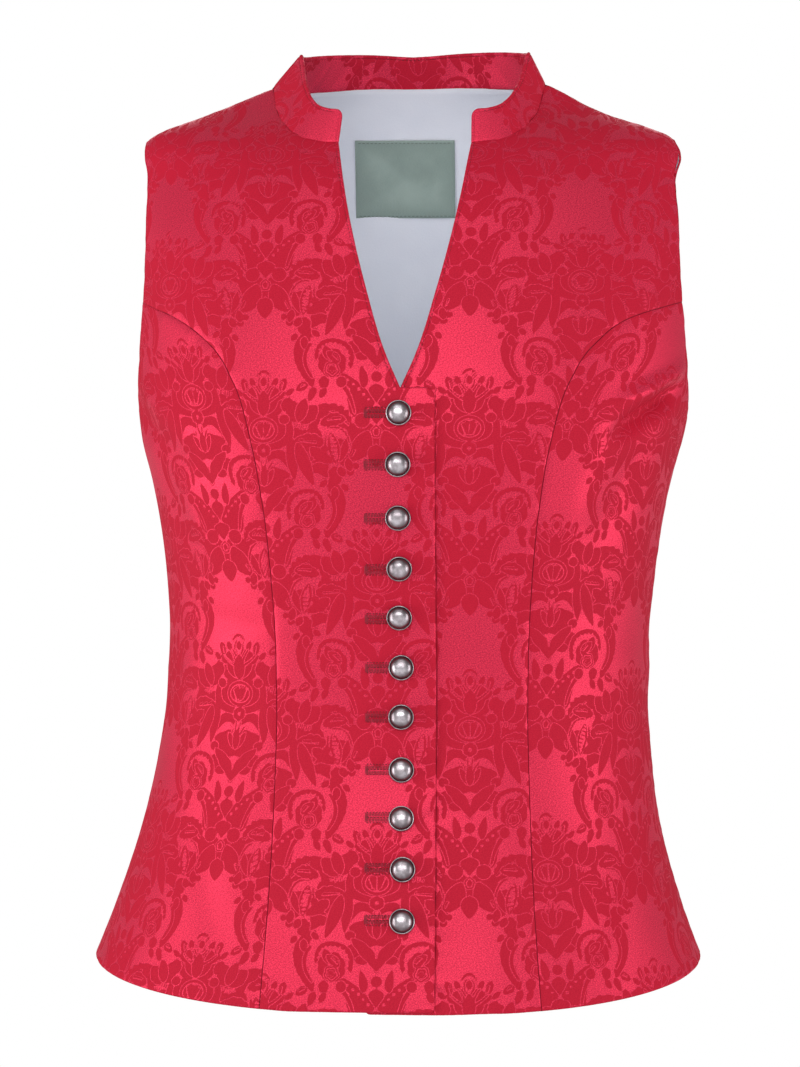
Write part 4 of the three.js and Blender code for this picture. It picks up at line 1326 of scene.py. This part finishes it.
DITCH_AT, DITCH_WIDE, DITCH_DEEP = 1.9, 0.35, 0.35      # beside a topstitched edge
VALLEY_WIDE, VALLEY_DEEP, COLLAR_VALLEY = 1.3, 0.5, 0.6     # along a seam
SEAM_PUCKER, EDGE_PUCKER, COLLAR_PUCKER = 9, 7, 5       # how far the puckers reach
PUCKERS = table(                # lengths and heights of the small waves along a seam
    "long high turn",
    (6.3, 0.02, 0.4), (9.7, 0.05, 2.0), (15.1, 0.07, 4.1), (24.7, 0.10, 1.2),
)
DRIFT, DRIFT_LONG = 1.7, 31     # how much, and over what length, the waves come early or late


def lap_shift(p, side):
    """The stands share the thickness of the lap: the right one rises and the left one sinks."""
    lift = (WALL + LAP_GAP) / 2
    across = 1 - ease((np.abs(p[:, 0]) - LAP - LAP_FOOT) / LAP_FADE)
    above = 1 - ease((p[:, 2] - V_POINT) / LAP_FADE_UP)
    return -side * lift * across * above


def relief(rows, s, t):
    """Soft ridges and troughs, each a row with its place, direction, length, width and height."""
    total = np.zeros_like(s)
    for i in range(len(rows["s"])):
        f = {name: column[i] for name, column in rows.items()}
        a = math.radians(f["angle"])
        along = ((s - f["s"]) * math.cos(a) + (t - f["t"]) * math.sin(a)) / f["long"]
        across = ((t - f["t"]) * math.cos(a) - (s - f["s"]) * math.sin(a)) / f["wide"]
        total += f["high"] * np.exp(-along ** 4 - across ** 2)
    return total


def cloth_height(p, side):
    """How far the folds and the lap move a place of a front off the form."""
    return relief(FOLDS, signed_girth(p), p[:, 2]) + lap_shift(p, side)


def puckers(along, away, reach):
    """Small waves along a seam that die out away from it."""
    wave = sum(
        high * np.sin(2 * np.pi * along / long + turn + DRIFT * np.sin(along / DRIFT_LONG))
        for long, high, turn in zip(PUCKERS["long"], PUCKERS["high"], PUCKERS["turn"])
    )
    return wave * np.exp(-(away / reach) ** 2)


def rolled(away, radius):
    """How far a cloth's face falls back where its edge turns over."""
    near = np.clip(radius - away, 0, radius)
    return radius - np.sqrt(radius ** 2 - near ** 2)


def ditch(away):
    """How deep the thread pulls the cloth in, at a distance from a topstitched edge."""
    return DITCH_DEEP * np.exp(-((away - DITCH_AT) / DITCH_WIDE) ** 2)


# %% Making a panel
def make_panel(name, side, outline, grain, turn, aside, shell):
    """Sews one panel: its wall, its cloth coordinates, its figure and its relief."""
    piece, p, out, inner = sewn_wall("satin_" + name, outline["grids"])
    mesh = piece.data
    edge, edge_along = nearest(p, outline["edges"])
    seam, seam_along = nearest(p, outline["seams"])
    s = grain(p)
    t = climb(turn, p[:, 2])
    keep_cloth(mesh, s, t)
    keep_figure(mesh, damask(s, t, aside, climb(turn, shell)))
    keep_values(mesh, "edge", edge)
    keep_values(mesh, "seam", seam)

    high = cloth_height(p, side)
    high -= VALLEY_DEEP * np.exp(-seam / VALLEY_WIDE)
    high += puckers(seam_along, seam, SEAM_PUCKER) + puckers(edge_along, edge, EDGE_PUCKER)
    high -= np.where(inner, WALL, rolled(edge, EDGE_ROLL))
    if outline["stitched"]:
        away, _ = nearest(p, outline["stitched"])
        high -= np.where(inner, 0, ditch(away))
    place_points(mesh, p + out * high[:, None])
    dress(piece, SATIN, TWILL)
    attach(piece, "root")
    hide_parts(name)
    print(name, sum(len(f.vertices) - 2 for f in mesh.polygons), "triangles")
    return piece


# %% [markdown]
# ## Grain lines
# The cutter turns each pattern piece so that its grain line follows the warp, and slides it so
# that the bouquets fall well. The side pieces have grain lines of their own; the fronts follow
# their own free edges and the back its middle.

# %% Seven panels
def from_line(rows, side, place):
    """Lengths sideways from a grain line that is given as heights and distances from the middle."""
    line = table("z x", *rows)

    def sideways(p):
        z = p[:, 2]
        return signed_girth(p) - signed_girth(place(side * read(line, "z", "x", z), z))
    return sideways


def from_back(p):
    side = np.where(p[:, 0] >= 0, 1, -1)
    half = np.full(len(p), 180.0)
    whole = np.where(side > 0, girth(half, p[:, 2], 1), girth(half, p[:, 2], -1))
    return side * (np.abs(signed_girth(p)) - whole)


GRAIN_RIGHT = ((-518, 121), (-430, 106), (-348, 95.5), (-175, 121), (-100, 140))
GRAIN_LEFT = ((-518, 92), (-446, 85), (-275, 88), (-186, 97), (-100, 120))
GRAIN_BACK = ((-518, 120), (-335, 100), (-184, 120), (-60, 130))
PANELS = {}
for name, side, outline, grain, turn, aside, shell in (
    ("centre_front_left", 1, centre_front(1), signed_girth, 0.0, 40, -366.0),
    ("centre_front_right", -1, centre_front(-1), signed_girth, 0.0, -80, -367.0),
    ("side_front_right", -1, side_panel(-1, True), from_line(GRAIN_RIGHT, -1, on_front), 50.0, 0, -346.0),
    ("side_front_left", 1, side_panel(1, True), from_line(GRAIN_LEFT, 1, on_front), 50.0, 0, -275.0),
    ("side_back_right", -1, side_panel(-1, False), from_line(GRAIN_BACK, -1, on_back), 120.0, 0, -300.0),
    ("side_back_left", 1, side_panel(1, False), from_line(GRAIN_BACK, 1, on_back), 120.0, 0, -300.0),
    ("centre_back", 0, centre_back(), from_back, 180.0, 0, -250.0),
):
    PANELS[name] = make_panel(name, side, outline, grain, turn, aside, shell)

# %% [markdown]
# ## Stand collar
# A stand collar is a strip of two layers sewn to the neck, turned and topstitched. It is cut
# almost straight but leans inwards, most of all over the shoulders, because the neck is a cone
# there. Its own grid rises from the neck seam along a direction that changes round the neck.

# %% Collar
COLLAR = table(
    "turn rise lean",
    (34, 19.5, 6), (52, 20.3, 10.5), (70, 19.8, 13.2), (95, 19.6, 13.0), (125, 20.9, 9.5),
    (150, 19.8, 7), (180, 18.8, 5.5),
)
COLLAR_ASIDE = 3.5              # its sides lean this much towards the wearer's left
NECK_AXIS = np.array([0, 5, 0])
LEVEL = [1, 1, 0]               # keeps a direction's x and y only
NECK_SMOOTH = 36
COLLAR_WALL = 2.3
COLLAR_CORNER = 4.5
COLLAR_STEP = 1.35
COLLAR_TUCK = 1.0               # its lower edge is caught in the neck seam by this much
CORNER_FADE = 14
COLLAR_FIGURE = (3, 42)         # where its bouquets fall: aside, and the height of the shell
COLLAR_CREASES = table(         # soft creases inside the back of the neck, from its centre
    "s t angle long wide high",
    (-66, 11, 62, 9, 1.6, -0.55), (-52, 9, 55, 10, 2.4, 0.35), (-41, 10, 58, 11, 1.8, -0.45),
    (-27, 8, 60, 8, 2.2, 0.25), (48, 12, 120, 8, 2.0, -0.3), (63, 9, 118, 9, 2.2, 0.3),
    (20, 6, 8, 12, 2.0, -0.2),
)

NECK = np.concatenate([
    neck_front(-1), neck_back(-1)[1:], neck_back(1)[::-1][1:], neck_front(1)[::-1][1:],
])
NECK_REACH = lengths(NECK)
NECK_LENGTH = NECK_REACH[-1]


def smoothed(rows, reach):
    """Averages each row of vectors with those beside it."""
    padded = np.concatenate([rows[:1].repeat(reach, 0), rows, rows[-1:].repeat(reach, 0)])
    total = np.cumsum(np.concatenate([np.zeros((1, 3)), padded]), axis=0)
    return (total[2 * reach + 1:] - total[:-2 * reach - 1]) / (2 * reach + 1)


NECK_ALONG = unit(smoothed(unit(np.gradient(NECK, axis=0)), NECK_SMOOTH))
inwards = unit(np.stack([-NECK_ALONG[:, 1], NECK_ALONG[:, 0], 0 * NECK_ALONG[:, 0]], -1))
inwards *= -np.sign((inwards * (NECK - NECK_AXIS) * LEVEL).sum(-1, keepdims=True))
neck_turn = turn_of(NECK)
NECK_UP = inwards * read(COLLAR, "turn", "lean", neck_turn)[:, None]
NECK_UP[:, 0] += COLLAR_ASIDE * np.sin(np.radians(neck_turn)) ** 2
NECK_UP[:, 2] += read(COLLAR, "turn", "rise", neck_turn)


def collar_grid():
    end_rise = np.linalg.norm(NECK_UP[0])
    up = graded(end_rise, COLLAR_STEP, BY_SEAM, BY_EDGE)[:, None]
    reach = NECK_LENGTH * graded(NECK_LENGTH, COLLAR_STEP, BY_EDGE, BY_EDGE)[None, :]
    over = np.clip(COLLAR_CORNER - (1 - up) * end_rise, 0, COLLAR_CORNER)
    notch = COLLAR_CORNER - np.sqrt(COLLAR_CORNER ** 2 - over ** 2)
    from_right, from_left = (ease(away / CORNER_FADE) for away in (reach, NECK_LENGTH - reach))
    moved = reach + notch * (1 - from_right) - notch * (1 - from_left)
    rise, up = between(moved, NECK_REACH, NECK_UP), up[..., None]
    return between(moved, NECK_REACH, NECK) - unit(rise) * COLLAR_TUCK * (1 - up) + rise * up


def collar_facing(p):
    """The collar's outward direction beside each place, and how far round the neck it is."""
    tree = search_tree(NECK + NECK_UP / 2)
    near = np.array([tree.find(q)[1] for q in p])
    out = unit(np.cross(NECK_ALONG[near], NECK_UP[near]))
    away = ((p - NECK_AXIS) * LEVEL * out).sum(-1, keepdims=True)
    return out * np.sign(away), NECK_REACH[near]


def make_collar():
    points = collar_grid()
    piece, p, out, inner = sewn_wall("satin_collar", [points], lambda q: collar_facing(q)[0], False)
    mesh = piece.data
    edge, edge_along = nearest(p, [points[-1], points[:, 0], points[:, -1]])
    seam, seam_along = nearest(p, [points[0]])
    s = collar_facing(p)[1] - NECK_LENGTH / 2
    keep_cloth(mesh, s, seam)
    keep_figure(mesh, damask(s, seam, *COLLAR_FIGURE))
    keep_values(mesh, "edge", edge)
    keep_values(mesh, "seam", seam)
    high = puckers(seam_along, seam, COLLAR_PUCKER) + 0.5 * puckers(edge_along, edge, COLLAR_PUCKER)
    high -= rolled(edge, EDGE_ROLL) + ditch(edge) + COLLAR_VALLEY * np.exp(-seam / VALLEY_WIDE)
    creased = relief(COLLAR_CREASES, s, seam) * ease(edge / 6) * ease(seam / 4)
    high = np.where(inner, -COLLAR_WALL - high + creased, high)
    place_points(mesh, p + out * high[:, None])
    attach(piece, "root")
    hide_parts("collar_outer", "collar_inner")
    dress(piece, SATIN, SATIN)
    print("collar", round(NECK_LENGTH), "mm round,", 2 * len(mesh.polygons), "triangles")
    return piece


COLLAR_PIECE = make_collar()

# %% [markdown]
# ## Lining and label
# The back is lined with a pale twill that hangs a little loose, and a woven label is sewn in
# under the neck. They face the wearer, so their grids do too. The label's side that shows is
# the fine one and its side against the satin the coarse one; the lining is fine on both sides.

# %% Lining
LINING_FACE = 2.8               # from the form to the lining's face
LINING_WALL = 1.0
LINING_STEP = 6
HEM_TURNING = 6.5               # the lining stops this far above the hem
FOLD_ROOM = 1.25                # it gives way to the satin's folds by more than their depth
HEM_EASE = 40                   # the height over which the turning dies out
LINING_TUCK, TUCK_REACH = 0.25, 5           # it is caught in the edge seams
SLACK_FROM, SLACK_REACH = 6, 25             # and hangs loose away from them
BILLOWS = table(                # slack in the lining: from the centre back, and heights
    "s t angle long wide high",
    (-38, 122, 82, 60, 9, 0.9), (30, 128, 96, 70, 11, 0.8), (-82, 60, 70, 60, 12, 0.9),
    (88, 40, 108, 60, 12, 0.9), (6, 20, 90, 90, 14, 0.7), (-50, -90, 84, 70, 10, 0.8),
    (60, -100, 95, 60, 9, 0.8), (-140, -60, 92, 70, 12, 0.9), (150, -70, 88, 60, 12, 0.9),
)


def inward(p):
    return -outward(p)


def lining_grids():
    """The two side backs and the centre back, whose rows meet at the princess seams."""
    seams = [princess(side, False) for side in SIDES]
    arms = [arm_line(side, False, BACK_SEAM_START, 0) for side in SIDES]
    feet = [turn_of(seam[0]) for seam in seams]
    rows = graded(lengths(seams[0])[-1], LINING_STEP)
    columns = graded(lengths(hem_line(1, feet[1], 90.0))[-1], LINING_STEP)
    grids = [
        patch(
            at_parts(hem_line(side, foot, 90.0), columns), at_parts(side_seam(side), rows),
            at_parts(arm_line(side, False, BACK_SEAM_START, 1), columns), at_parts(seam, rows),
        )
        for side, foot, seam in zip(SIDES, feet, seams)
    ]
    arm_rows = graded(lengths(arms[0])[-1], LINING_STEP)
    left, right = (
        np.concatenate([at_parts(seam, rows), at_parts(arm, arm_rows)[1:]])
        for seam, arm in zip(seams, arms)
    )
    top = [shoulder(-1)[::-1], neck_back(-1), neck_back(1)[::-1], shoulder(1)]
    halves = [hem_line(side, foot, 180.0) for side, foot in zip(SIDES, feet)]
    columns = graded(sum(lengths(line)[-1] for line in top), LINING_STEP)
    grids.append(patch(chain([halves[0], halves[1][::-1]], columns), right, chain(top, columns), left))
    return grids


def make_lining():
    grids = lining_grids()
    for points in grids:
        foot = points[:, :, 2] - hem_height(points)
        points[..., 2] += HEM_TURNING * (1 - ease(foot / HEM_EASE))
    piece, p, out, inner = sewn_wall("lining_back", grids, inward, False)
    mesh = piece.data
    p = settle(p)
    s, t = from_back(p), climb(180.0, p[:, 2])
    keep_cloth(mesh, s, t)
    arms = [arm_line(side, False, 0, 1) for side in SIDES]
    tops = [line(side) for line in (shoulder, neck_back) for side in SIDES]
    edge, _ = nearest(p, arms + tops)
    keep_values(mesh, "edge", edge)
    slack = relief(BILLOWS, s, t) * ease((edge - SLACK_FROM) / SLACK_REACH)
    tucked = LINING_TUCK * (1 - ease(edge / TUCK_REACH))
    pushed = FOLD_ROOM * np.maximum(0, -relief(FOLDS, signed_girth(p), p[:, 2]))
    high = LINING_FACE + np.where(inner, -LINING_WALL, slack) - tucked + pushed
    place_points(mesh, p + out * high[:, None])
    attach(piece, "root")
    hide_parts("back_lining")
    dress(piece, TWILL)
    print("lining", 2 * len(mesh.polygons), "triangles")
    return piece


LINING = make_lining()

# %% Label
LABEL_WIDTH, LABEL_HEIGHT, LABEL_TOP, LABEL_ASIDE = 62, 47.5, -9, -6
LABEL_MIDDLE = LABEL_TOP - LABEL_HEIGHT / 2
LABEL_BACK = 3.4                # from the form to the label's back
LABEL_WALL = 0.9
LABEL_WAVES = table(
    "s t angle long wide high",
    (-14, 10, 74, 26, 9, 0.22), (12, -6, 100, 30, 10, 0.2), (24, 12, 96, 20, 6, -0.2),
    (-4, -20, 4, 30, 5, 0.18),
)
STITCH_PULL, PULL_REACH = 0.06, 2.2         # its stitches draw it in a little
LABEL_PITCH, LABEL_SHARE, LABEL_INSET = 2.5, 0.72, 1.3


def make_label():
    across = np.linspace(-0.5, 0.5, 63) * LABEL_WIDTH
    up = np.linspace(-0.5, 0.5, 49) * LABEL_HEIGHT
    points = on_back((LABEL_ASIDE + across)[None, :], (LABEL_MIDDLE + up)[:, None])
    piece, p, out, inner = sewn_wall("woven_label", [points], inward)
    mesh = piece.data
    s, t = p[:, 0] - LABEL_ASIDE, p[:, 2] - LABEL_MIDDLE
    keep_cloth(mesh, s, t)
    sewn = LABEL_HEIGHT / 2 - np.abs(t)
    edge = np.minimum(LABEL_WIDTH / 2 - np.abs(s), sewn)
    keep_values(mesh, "edge", edge)
    pull = STITCH_PULL * np.sin(s * 2 * np.pi / LABEL_PITCH) * np.exp(-(sewn / PULL_REACH) ** 2)
    high = relief(LABEL_WAVES, s, t) * ease(edge / 6) + pull
    high = LABEL_BACK + np.where(inner, 0, LABEL_WALL + high - rolled(edge, 0.5))
    place_points(mesh, p + out * high[:, None])
    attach(piece, "root")
    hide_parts("label")
    dress(piece, SATEEN)
    return piece


LABEL = make_label()

# %% [markdown]
# ## Thread
# A stitch that shows is a short raised bead of thread that dives into the cloth at both ends.
# One small sphere, stretched along its stitch, makes it; hundreds of them are joined into one
# piece for each line of sewing.

# %% Stitches
STITCH_SIDES, STITCH_RINGS = 6, 4


def copies_of(template, count):
    """One mesh that holds a template many times over, made with an Array modifier."""
    holder = add_object("holder", template)
    array = holder.modifiers.new("array", "ARRAY")
    array.count = count
    array.use_relative_offset = False
    ready = holder.evaluated_get(bpy.context.evaluated_depsgraph_get())
    mesh = bpy.data.meshes.new_from_object(ready)
    bpy.data.objects.remove(holder)
    return mesh


def bead():
    """A sphere with few sides, stood along its own Z."""
    made = bmesh.new()
    bmesh.ops.create_uvsphere(made, u_segments=STITCH_SIDES, v_segments=STITCH_RINGS, radius=1)
    return smooth_mesh("bead", made)


def sew(name, stitches, thick, thread):
    """Joined stitches. Each is its middle, its direction with half its length, and outwards."""
    template = bead()
    co = np.empty(len(template.vertices) * 3)
    template.vertices.foreach_get("co", co)
    co = co.reshape(-1, 3)
    mesh = copies_of(template, len(stitches))
    middle, along, out = (np.array(rows)[:, None] for rows in zip(*stitches))
    side = unit(np.cross(along, out))
    out = unit(np.cross(side, along))
    points = middle + co[:, :1] * thick * side + co[:, 1:2] * thick * out - co[:, 2:] * along
    place_points(mesh, points)
    piece = add_object(name, mesh)
    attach(piece, "root")
    dress(piece, thread)
    print(name, len(stitches), "stitches")
    return piece


def running(line, out, pitch, share):
    """Stitches of a share of the pitch along a line, at the heights that it already has."""
    reach = lengths(line)
    starts = np.arange(pitch / 2, reach[-1] - pitch / 2, pitch)
    a, b = (between(starts + d, reach, line) for d in (0, share * pitch))
    return list(zip((a + b) / 2, (b - a) / 2, unit(between(starts, reach, out))))


EDGE_PITCH, EDGE_SHARE = 2.4, 0.62
EDGE_THREAD = 0.17
IN_DITCH = -0.18                # the topstitching lies in its ditch, below the cloth's face


def edge_stitches():
    rows = []
    for side in (1, -1):
        line = beside(v_edge(side), inside_front(side), DITCH_AT)
        out = outward(line)
        line = line + out * (IN_DITCH + cloth_height(line, side))[:, None]
        rows += running(line, out, EDGE_PITCH, EDGE_SHARE)
    grid = collar_grid()
    top = grid[-1] + (grid[0] - grid[-1]) * (DITCH_AT / np.linalg.norm(NECK_UP[0]))
    top = top[6:-6]             # it stops short of the collar's two ends
    out = collar_facing(top)[0]
    for face, height in ((1, IN_DITCH), (-1, -COLLAR_WALL - IN_DITCH)):
        rows += running(top + out * height, out * face, EDGE_PITCH, EDGE_SHARE)
    return rows


# The topstitching is real thread, coloured darker partly as painted shade for its needle holes
TOPSTITCHING = sew("topstitching", edge_stitches(), EDGE_THREAD, DARK_THREAD_AND_SHADE)


def label_stitches():
    rows = []
    x = LABEL_ASIDE + np.linspace(-0.49, 0.49, 200) * LABEL_WIDTH
    for end in (-1, 1):
        line = on_back(x, LABEL_MIDDLE + end * (LABEL_HEIGHT / 2 - LABEL_INSET))
        out = inward(line)
        rows += running(line + out * (LABEL_BACK + LABEL_WALL + 0.02), out, LABEL_PITCH, LABEL_SHARE)
    return rows


LABEL_THREAD = sew("label_stitches", label_stitches(), 0.2, LABEL_COTTON)

# %% [markdown]
# ## Buttons
# Each button is a hollow stamped shell of silvered metal: a dome that sits in a rim, with a
# narrow groove between them where the finish stays dark. Its outline is turned round an axis
# with Spin. They were sewn on by hand, so every one sits at a slightly different tilt.

# %% Buttons
BUTTON_RADIUS = 7.4
BUTTON_NAMES = sorted(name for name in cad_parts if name.startswith("button_"))
BUTTON_OUTLINE = table(         # from the back to the top, as parts of the radius
    "r h",
    (0.0, 0.02), (0.5, 0.0), (0.8, 0.0), (0.9, 0.025), (0.965, 0.06), (0.99, 0.095), (1.0, 0.135),
    (0.995, 0.17), (0.975, 0.2), (0.945, 0.215), (0.912, 0.205), (0.895, 0.175), (0.885, 0.14),
    (0.878, 0.15), (0.872, 0.2), (0.855, 0.262), (0.825, 0.325), (0.775, 0.4), (0.705, 0.475),
    (0.61, 0.55), (0.49, 0.615), (0.355, 0.662), (0.21, 0.69), (0.095, 0.698), (0.0, 0.7),
)
BUTTON_SIDES = 40
OUTLINE_MIDDLE = 0.35           # the height in the outline that lies at the middle of its CAD node
BUTTON_PROUD = 0.35             # and how far that is moved outwards, in mm
TILT = 3.2                      # degrees


def make_button(i, cad_name):
    low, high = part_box(cad_name)
    middle = np.array((low + high) / 2) / MM
    out = outward(middle)
    body = bmesh.new()
    outline = [
        body.verts.new((r * BUTTON_RADIUS, 0, (h - OUTLINE_MIDDLE) * BUTTON_RADIUS))
        for r, h in zip(BUTTON_OUTLINE["r"], BUTTON_OUTLINE["h"])
    ]
    edges = [body.edges.new(pair) for pair in zip(outline, outline[1:])]
    bmesh.ops.spin(
        body, geom=outline + edges, cent=(0, 0, 0), axis=(0, 0, 1), angle=2 * math.pi,
        steps=BUTTON_SIDES, use_merge=True,
    )
    bmesh.ops.remove_doubles(body, verts=body.verts, dist=0.001)
    bmesh.ops.recalc_face_normals(body, faces=body.faces)
    from_axis = body.verts.layers.float.new("from_axis")
    for v in body.verts:
        v[from_axis] = math.hypot(v.co.x, v.co.y) / BUTTON_RADIUS
    lean = Vector(out.tolist()).to_track_quat("Z", "Y").to_matrix().to_4x4()
    tilt = Matrix.Rotation(math.radians(TILT * math.sin(2.1 * i + 0.6)), 4, "X")
    tilt @= Matrix.Rotation(math.radians(TILT * math.cos(1.7 * i + 1.0)), 4, "Y")
    spot = Matrix.Translation(Vector((middle + BUTTON_PROUD * out).tolist()))
    bmesh.ops.transform(body, matrix=Matrix.Scale(MM, 4) @ spot @ lean @ tilt, verts=body.verts)
    piece = add_object("silver_" + cad_name, smooth_mesh("silver_" + cad_name, body))
    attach(piece, "root")
    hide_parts(cad_name)
    dress(piece, SILVER)
    return piece, middle, out


BUTTONS = [make_button(i, name) for i, name in enumerate(BUTTON_NAMES)]
print(len(BUTTONS), "buttons of", 2 * BUTTON_RADIUS, "mm")

# %% [markdown]
# ## Worked buttonholes
# A worked buttonhole is a slit with a row of close purl stitches along each lip and a bar tack
# across its end. The thread is the satin's own colour, but matt and a little deeper. The slit and
# the needle holes beside it are painted shade: rows of dark beads.

# %% Buttonholes
HOLE_START, HOLE_END = -20.2, 1.0
LIP_NEAR, LIP_FAR = 0.45, 2.7
PURL_PITCH = 0.9
PURL_THREAD, SLIT_SHADOW_THICK = 0.33, 0.3
BAR_LONG = 2.9
BAR_AT = (-0.35, 0.3, 0.95)     # the bar tack's threads, from the start of the slit
PURL_TOP, PURL_FOOT, BAR_TOP, SLIT_TOP = 0.22, 0.02, 0.14, 0.16     # heights above the cloth
NEEDLE_HOLES = LIP_FAR + 0.25
HAND_SEED = 11
HAND_LEVEL, HAND_FAR, HAND_LEAN = 0.5, 0.2, 0.14    # how uneven handwork is, either way
SLIT_RUN, NEEDLE_RUN = (1.9, 0.85), (2 * PURL_PITCH, 0.6)   # the pitch and share of each row


def on_stand(x, z, proud):
    """Places on the face of the button stand and outwards there, at heights above the cloth."""
    p = on_front(np.asarray(x, float), z)
    out = outward(p)
    return p + out * (cloth_height(p, -1) + proud)[:, None], out


def hole_stitches():
    rows = []
    generator = np.random.default_rng(HAND_SEED)
    x = np.arange(HOLE_START + 0.9, HOLE_END, PURL_PITCH)
    bars = HOLE_START + np.array(BAR_AT)
    for _, middle, _ in BUTTONS:
        level = middle[2] + generator.uniform(-HAND_LEVEL, HAND_LEVEL)
        for side in (-1, 1):
            far = LIP_FAR + generator.uniform(-HAND_FAR, HAND_FAR, len(x))
            lean = generator.uniform(-HAND_LEAN, HAND_LEAN, len(x))
            a, out = on_stand(x, level + side * LIP_NEAR, PURL_TOP)
            b, _ = on_stand(x + lean, level + side * far, PURL_FOOT)
            rows += zip((a + b) / 2, (b - a) / 2, out)
        a, out = on_stand(bars, level - BAR_LONG, BAR_TOP)
        b, _ = on_stand(bars, level + BAR_LONG, BAR_TOP)
        rows += zip((a + b) / 2, (b - a) / 2, out)
    return rows


def slit_shadows():
    """Painted shade: rows of dark beads for the shadow in each buttonhole's slit and in the needle holes
    on each side of it.
    """
    rows = []
    x = np.linspace(HOLE_START - 0.6, HOLE_END, 40)
    for _, middle, _ in BUTTONS:
        for rise in (-NEEDLE_HOLES, 0.0, NEEDLE_HOLES):
            line, out = on_stand(x, middle[2] + rise, SLIT_TOP)
            rows += running(line, out, *(NEEDLE_RUN if rise else SLIT_RUN))
    return rows


BUTTONHOLES = sew("buttonhole_thread", hole_stitches(), PURL_THREAD, RED_THREAD)
SLIT_SHADOWS = sew("buttonhole_slit_shadows", slit_shadows(), SLIT_SHADOW_THICK, DARK_THREAD_AND_SHADE)

# %% [markdown]
# ## Reading back the sheets
# Each sheet's cloth coordinates are read back below, with the pieces sewn to it; nothing is
# made from them here.

# %% Reading back the sheets
def declare(piece, with_pieces=()):
    """Reads back a sheet's cloth coordinates, and nothing more."""
    mesh = piece.data
    uv = np.empty(2 * len(mesh.loops))
    mesh.uv_layers["cloth"].data.foreach_get("uv", uv)
    list(with_pieces)


TRIM = {
    "centre_front_right": [BUTTONHOLES, SLIT_SHADOWS],
    "centre_front_left": [piece for piece, _, _ in BUTTONS],
}
for name, piece in PANELS.items():
    declare(piece, TRIM.get(name, ()))
declare(COLLAR_PIECE, [TOPSTITCHING])
declare(LINING)
declare(LABEL, [LABEL_THREAD])

# %% [markdown]
# ## Floor
# The floor lies where the wearer would stand. It is a plain pale disc whose rim fades into the
# white of the room, so that no edge of it ever shows.

# %% Floor
FLOOR_LEVEL = -1.4
FLOOR_RADIUS = 6.0
FADE_FROM, FADE_TO = 2.0, 5.6
PALE, BLACK, WHITE = (0.82, 0.82, 0.83, 1), (0, 0, 0, 1), (1, 1, 1, 1)


def floor_finish():
    material, tree, shader = new_material("floor")
    flat = product(tree, own_place(tree), LEVEL)
    away = put(tree, "ShaderNodeVectorMath", operation="LENGTH", i0=flat).outputs["Value"]
    fade = ramp(tree, away, FADE_FROM, FADE_TO)
    set_node(
        tree, shader,
        Base_Color=mixed(tree, fade, PALE, BLACK),
        Emission_Color=mixed(tree, fade, BLACK, WHITE),
        Emission_Strength=1.0,
        Roughness=0.9,
    )
    return material


disc = bmesh.new()
bmesh.ops.create_circle(disc, cap_ends=True, segments=128, radius=FLOOR_RADIUS)
bmesh.ops.translate(disc, verts=disc.verts, vec=(0, 0, FLOOR_LEVEL))
floor = add_object("floor", smooth_mesh("floor", disc))
dress(floor, floor_finish())
